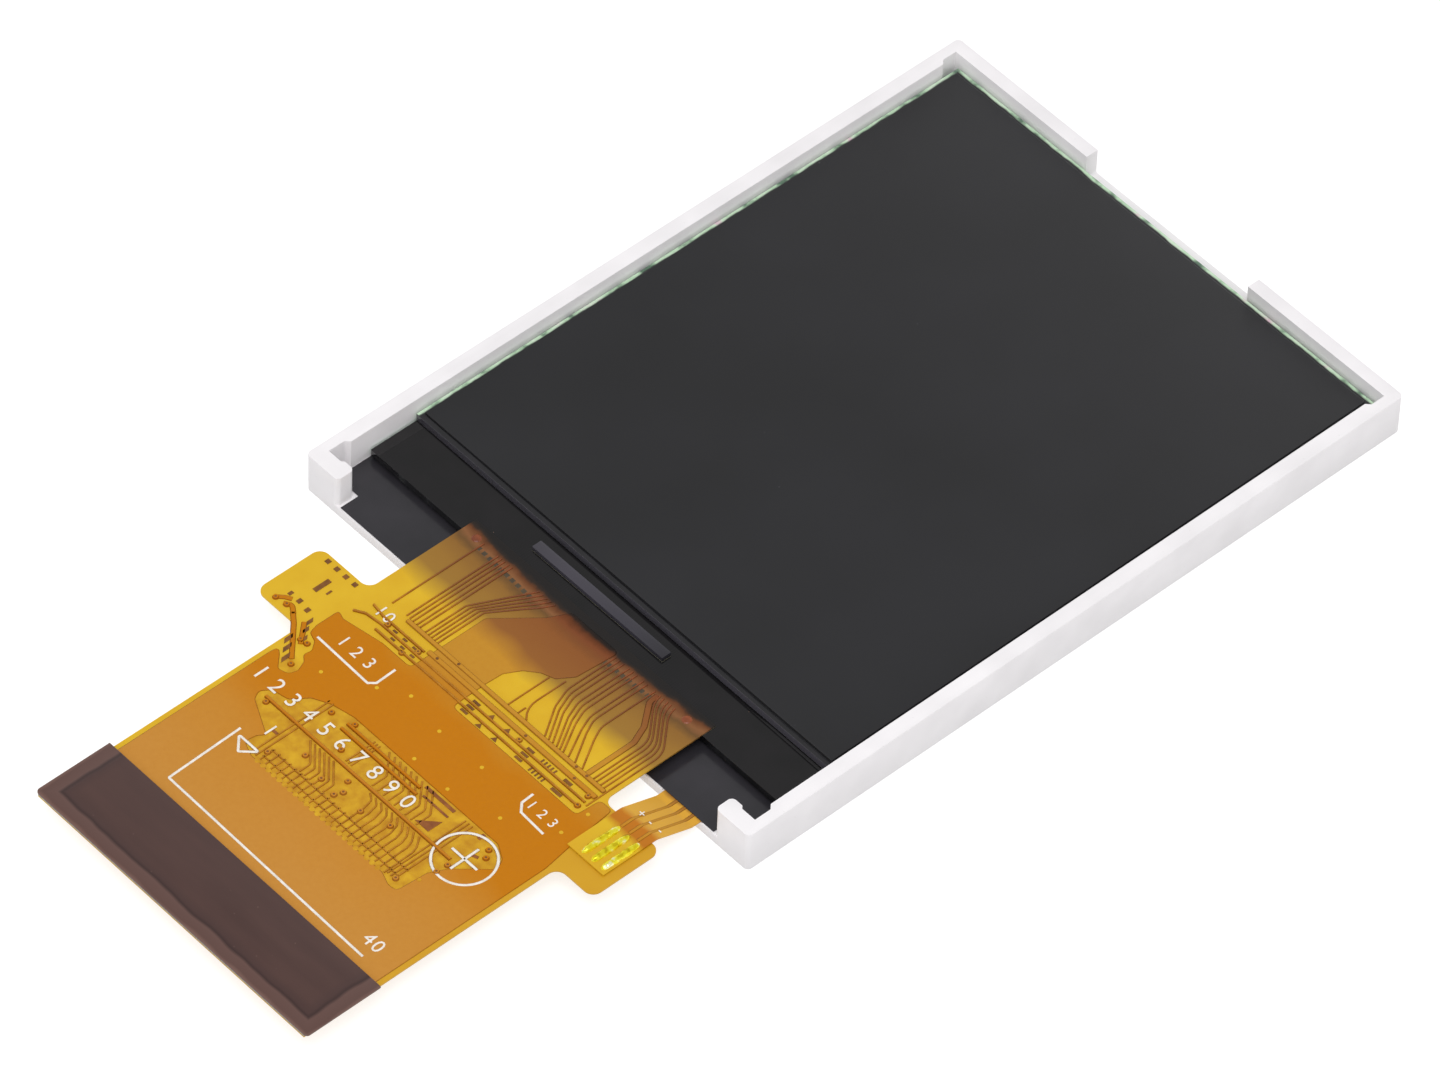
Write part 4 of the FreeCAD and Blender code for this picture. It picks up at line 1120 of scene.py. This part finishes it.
class DISPLAY_OT_tracks(bpy.types.Operator):
    """Tracks, vias and dark marks of the flex circuit"""

    bl_idname = "display.tracks"
    bl_label = "Tracks and Vias"

    def execute(self, context):
        looks = context.scene.display_looks
        low = BASE_TOP
        top = COPPER_TOP
        over = top + looks.jumper_rise
        track = track_look()
        copper = copper_look(looks)
        film = film_look(looks)
        marks = mark_look()
        rust = shared("rust_marks", plain_finish, (158, 92, 32), (128, 68, 20), 2.0), "copper"
        ember = shared("bond_copper", plain_finish, (150, 76, 34), (112, 52, 24), 1.5), "copper"
        grey = shared("bond_windows", plain_finish, (84, 70, 46), (64, 52, 36), 1.5), "copper"
        ridges = (
            ("neck_tracks", NECK_LEFT_TRACKS + NECK_FAN_TRACKS, track, 0.13, top, 0.4),
            ("bundle_tracks", BUNDLE_TRACKS + EDGE_TRACKS + MOON_TRACKS, track, 0.12, top, 1.5),
            ("wide_tracks", WIDE_TRACKS, copper, 0.4, top, 0.5),
            ("jumper_lines", JUMPER_LINES, track, 0.16, over, 0.4),
            ("tab_tracks", TAB_TRACKS, copper, 0.34, top, 0.3),
            ("patch_wide_tracks", PATCH_WIDE_TRACKS, copper, 0.24, over, 0.2),
            ("patch_tracks", PATCH_FINE_TRACKS, track, 0.12, top, 0.3),
        )
        for name, paths, look, width, high, bend in ridges:
            add_ridges(name, paths, look, width, low, high, bend)
        areas = (
            ("tab_marks", TAB_BLOCKS, marks), ("window_marks", WINDOW_BLOCKS, marks),
            ("patch_marks", PATCH_BLOCKS, rust),
        )
        for name, blocks, look in areas:
            add_area(name, blocks, look, low, top, MARK_SLOPE)
        buttons = (
            ("film_vias", FILM_VIAS, copper, 0.2, low, over),
            ("film_via_holes", FILM_VIAS, marks, 0.09, over - HOLE_SINK, over + HOLE_RISE),
            ("patch_track_ends", PATCH_ENDS, film, 0.2, low, top + TRACK_END_RISE),
            ("plane_vias", PLANE_VIAS, film, 0.15, low, top + PLANE_VIA_RISE),
            ("jumper_vias", JUMPER_VIAS, marks, 0.12, low, over + JUMPER_VIA_RISE),
            ("bond_blobs", BOND_BLOBS, ember, 0.3, low, top),
        )
        for name, spots, look, radius, foot, head in buttons:
            add_buttons(name, spots, look, radius, foot, head)
        add_area("bond_windows", BOND_WINDOWS, grey, low, low + BOND_WINDOW_RISE, WINDOW_SLOPE)
        return {"FINISHED"}


def lettering(name, signs, low, high):
    """Plain signs (text, x, y, height) of the layout, joined in one mesh."""
    work = bmesh.new()
    for text, x, y, height in signs:
        curve = bpy.data.curves.new(name, "FONT")
        curve.body = text
        curve.align_x = "CENTER"
        curve.align_y = "CENTER"
        curve.size = height / CAPITAL_HEIGHT
        curve.space_character = LETTER_SPACING
        curve.resolution_u = 3
        curve.extrude = 0.5
        source = bpy.data.objects.new(name, curve)
        mesh = bpy.data.meshes.new_from_object(source)
        bpy.data.objects.remove(source)
        bpy.data.curves.remove(curve)
        for vertex in mesh.vertices:
            flat = vertex.co.xy + Vector((x, y))
            vertex.co = place(flat.x, flat.y, high if vertex.co.z > 0 else low)
        work.from_mesh(mesh)
        bpy.data.meshes.remove(mesh)
    joined = bpy.data.meshes.new(name)
    bmesh.ops.dissolve_degenerate(work, dist=MERGE, edges=work.edges)
    work.to_mesh(joined)
    work.free()
    return closed_mesh(joined)


class DISPLAY_OT_print(bpy.types.Operator):
    """White print: the contact line with its pointer, brackets, plain numbers and polarity signs"""

    bl_idname = "display.print"
    bl_label = "White Print"

    def execute(self, context):
        looks = context.scene.display_looks
        white = print_look()
        low = COPPER_TOP - PRINT_SINK
        top = COPPER_TOP + looks.print_rise
        add_ridges("print_lines", PRINT_LINES, white, 0.17, low, top, 0.05)
        add_piece("print_numbers", lettering("print_numbers", PRINT_SIGNS, low, top), *white)
        return {"FINISHED"}


class DISPLAY_OT_tail(bpy.types.Operator):
    """Tail of the backlight's flex with its tracks and the solder on its lands"""

    bl_idname = "display.tail"
    bl_label = "Backlight Tail and Solder"

    def execute(self, context):
        looks = context.scene.display_looks
        dress("backlight_flex", tail_film("tail_film"))
        dress("solder_lands", gold_plate("land_gold"))
        film = 0.08 * MM
        lift = 0.006 * MM
        half_rise = 0.008 * MM
        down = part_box("backlight_flex")[0].z + film + lift
        up = TAIL_TOP + lift
        paths = [[(x, 0.6, down), (x, -0.5, down), (x, -2.9, up), (x, -3.7, up)] for x in TAIL_TRACKS_X]
        add_ridges("tail_tracks", paths, copper_look(looks), 0.22, -half_rise, half_rise, 0.5)
        # Solder with a painted reflection of the amber film and painted glints
        solder = solder_painted_reflection("solder_painted_reflection")
        for number in (1, 2, 3):
            node = f"solder_joint_{number}"
            add_piece(f"solder_bead_{number}", solder_bead(node, number), solder, "solder", [node])
        return {"FINISHED"}


def solder_bead(node, seed):
    """A lumpy run of solder along its slot, inside the solid that it stands for."""
    low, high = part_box(node)
    middle = (low + high) / 2
    half_width = (high.x - low.x) / 2
    half_length = (high.y - low.y) / 2
    foot = TAIL_TOP - BEAD_SINK
    shift = Vector((seed * BEAD_SHIFT, 0, 0))
    work = bmesh.new()
    rows = []
    for ring in range(BEAD_RINGS):
        share = -1 + 2 * ring / (BEAD_RINGS - 1)
        taper = (1 - abs(share) ** BEAD_BLUNTNESS) ** 0.5
        row = []
        for step in range(BEAD_POINTS):
            angle = math.pi * step / (BEAD_POINTS - 1)
            point = Vector((math.cos(angle), share * half_length / half_width, math.sin(angle)))
            lump = 1 + COARSE_LUMPS[0] * noise.noise(point * COARSE_LUMPS[1] + shift)
            lump *= 1 - FINE_LUMPS[0] + FINE_LUMPS[0] * noise.noise(point * FINE_LUMPS[1])
            x = middle.x + half_width * math.cos(angle) * taper * min(lump, 1)
            z = foot + (high.z - foot) * max(math.sin(angle), 0) * taper * min(lump, 1)
            row.append(work.verts.new((x, middle.y + share * half_length, z)))
        rows.append(row)
    for before, after in zip(rows, rows[1:]):
        for i in range(BEAD_POINTS):
            j = (i + 1) % BEAD_POINTS
            work.faces.new((before[i], before[j], after[j], after[i]))
    work.faces.new(rows[0])
    work.faces.new(rows[-1])
    bmesh.ops.recalc_face_normals(work, faces=work.faces)
    mesh = bpy.data.meshes.new(f"solder_bead_{seed}")
    work.to_mesh(mesh)
    work.free()
    mesh.shade_smooth()
    mesh.set_sharp_from_angle(angle=BEAD_SHARP)
    return mesh


class DISPLAY_OT_contacts(bpy.types.Operator):
    """Stiffener, its adhesive, the contact fingers and the bond leads"""

    bl_idname = "display.contacts"
    bl_label = "Stiffener and Contacts"

    def execute(self, context):
        looks = context.scene.display_looks
        brown = stiffener_film("stiffener_film", eight_bit(looks.stiffener_brown))
        softened("connector_stiffener", "stiffener", brown, "stiffener_brown", STIFFENER_EDGE)
        dress("stiffener_adhesive", bpy.data.materials["bond_film"])
        gold = gold_plate("contact_gold")
        for node in ("contact_fingers", "bond_leads"):
            dress(node, gold)
        return {"FINISHED"}


def seen_directly(graph):
    """1 for what the camera sees straight, mirrored or through glass, and 0 for plain light."""
    path = graph.node("ShaderNodeLightPath").outputs
    straight = Value(graph, path["Is Camera Ray"])
    mirrored = Value(graph, path["Is Glossy Ray"])
    through = Value(graph, path["Is Transmission Ray"])
    return graph.math("MAXIMUM", graph.math("MAXIMUM", straight, mirrored), through)


class DISPLAY_OT_stage(bpy.types.Operator):
    """Camera, soft light and a pale floor that is clear from below"""

    bl_idname = "display.stage"
    bl_label = "Stage"

    def execute(self, context):
        settings = context.scene.display_stage
        scene = context.scene
        scene.view_settings.view_transform = "Standard"
        self.camera(scene, settings)
        self.floor(scene)
        self.lights(scene, settings)
        return {"FINISHED"}

    def camera(self, scene, settings):
        back = Vector((
            math.sin(settings.azimuth) * math.cos(settings.elevation),
            -math.cos(settings.azimuth) * math.cos(settings.elevation),
            math.sin(settings.elevation),
        ))
        level = Vector((math.cos(settings.azimuth), math.sin(settings.azimuth), 0))
        upright = back.cross(level)
        right = level * math.cos(settings.roll) + upright * math.sin(settings.roll)
        up = upright * math.cos(settings.roll) - level * math.sin(settings.roll)
        data = bpy.data.cameras.new("camera")
        data.lens = settings.lens
        data.sensor_width = SENSOR_WIDTH
        data.sensor_fit = "HORIZONTAL"
        data.clip_start = CLIP_START
        camera = bpy.data.objects.new("camera", data)
        spot = CORNER + right * settings.offset[0] + up * settings.offset[1] + back * settings.distance
        turn = Matrix((right, up, back)).transposed().to_4x4()
        camera.matrix_world = Matrix.Translation(spot) @ turn
        scene.collection.objects.link(camera)
        scene.camera = camera

    def floor(self, scene):
        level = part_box("backlight_frame")[0].z - FLOOR_GAP
        mesh = bpy.data.meshes.new("floor")
        signs = ((-1, -1), (1, -1), (1, 1), (-1, 1))
        corners = [(x * FLOOR_REACH, y * FLOOR_REACH, level) for x, y in signs]
        mesh.from_pydata(corners, [], [(0, 1, 2, 3)])
        floor = bpy.data.objects.new("floor", mesh)
        scene.collection.objects.link(floor)
        material = bpy.data.materials.new("floor_white")
        material.use_nodes = True
        graph = Graph(material.node_tree)
        graph.nodes.clear()
        paint = graph.value("ShaderNodeBsdfDiffuse", 0, {"Color": FLOOR_PAINT})
        glow = graph.value("ShaderNodeEmission", 0, {"Strength": FLOOR_GLOW})
        lit = graph.value("ShaderNodeAddShader", 0, {0: paint, 1: glow})
        clear = graph.value("ShaderNodeBsdfTransparent", 0)
        from_below = graph.value("ShaderNodeNewGeometry", "Backfacing")
        inputs = {0: seen_directly(graph), 1: from_below}
        shown = graph.value("ShaderNodeMath", 0, inputs, operation="SUBTRACT", use_clamp=True)
        surface = graph.value("ShaderNodeMixShader", 0, {0: shown, 1: clear, 2: lit})
        graph.node("ShaderNodeOutputMaterial", {"Surface": surface})
        mesh.materials.append(material)

    def lights(self, scene, settings):
        data = bpy.data.lights.new("key", "AREA")
        data.shape = "RECTANGLE"
        data.size, data.size_y = LAMP_SIZE
        data.energy = settings.key_power
        lamp = bpy.data.objects.new("key", data)
        turn = LAMP_PLACE.to_track_quat("Z", "Y").to_matrix().to_4x4()
        lamp.matrix_world = Matrix.Translation(LAMP_PLACE) @ turn
        scene.collection.objects.link(lamp)

        world = bpy.data.worlds.new("surround")
        world.use_nodes = True
        scene.world = world
        graph = Graph(world.node_tree)
        background = graph.nodes["Background"].inputs
        background["Color"].default_value = (1, 1, 1, 1)
        direction = graph.value("ShaderNodeTexCoord", "Generated")
        height = graph.value("ShaderNodeSeparateXYZ", "Z", {0: direction})
        horizon = settings.surround * HORIZON_SHARE
        zenith = settings.surround * ZENITH_SHARE
        plain = graph.span(height, 0.0, 1.0, horizon, zenith) * graph.span(height, *BELOW_SPAN)
        shown = graph.span(height, *SHOWN_SPAN)
        inputs = {"Factor": seen_directly(graph), "A": plain, "B": shown}
        graph.feed(background["Strength"], graph.value("ShaderNodeMix", "Result", inputs))


class DISPLAY_PT_panel(bpy.types.Panel):
    """Makes the module's pieces one group at a time"""

    bl_idname = "DISPLAY_PT_panel"
    bl_label = "Display Module"
    bl_space_type = "VIEW_3D"
    bl_region_type = "UI"
    bl_category = "Display"

    def draw(self, context):
        for group in (context.scene.display_looks, context.scene.display_stage):
            for key in group.__annotations__:
                self.layout.prop(group, key)
        for operator in OPERATORS:
            self.layout.operator(operator.bl_idname)


OPERATORS = (
    DISPLAY_OT_frame, DISPLAY_OT_backlight, DISPLAY_OT_cell, DISPLAY_OT_flex, DISPLAY_OT_tracks,
    DISPLAY_OT_print, DISPLAY_OT_tail, DISPLAY_OT_contacts, DISPLAY_OT_stage,
)
CLASSES = (DisplayModuleLooks, StageSettings, *OPERATORS, DISPLAY_PT_panel)


def register():
    for item in CLASSES:
        bpy.utils.register_class(item)
    bpy.types.Scene.display_looks = bpy.props.PointerProperty(type=DisplayModuleLooks)
    bpy.types.Scene.display_stage = bpy.props.PointerProperty(type=StageSettings)


def unregister():
    del bpy.types.Scene.display_stage
    del bpy.types.Scene.display_looks
    for item in reversed(CLASSES):
        bpy.utils.unregister_class(item)


def main():
    register()
    for operator in OPERATORS:
        group, name = operator.bl_idname.split(".")
        getattr(getattr(bpy.ops, group), name)()


if __name__ == "__main__":
    main()
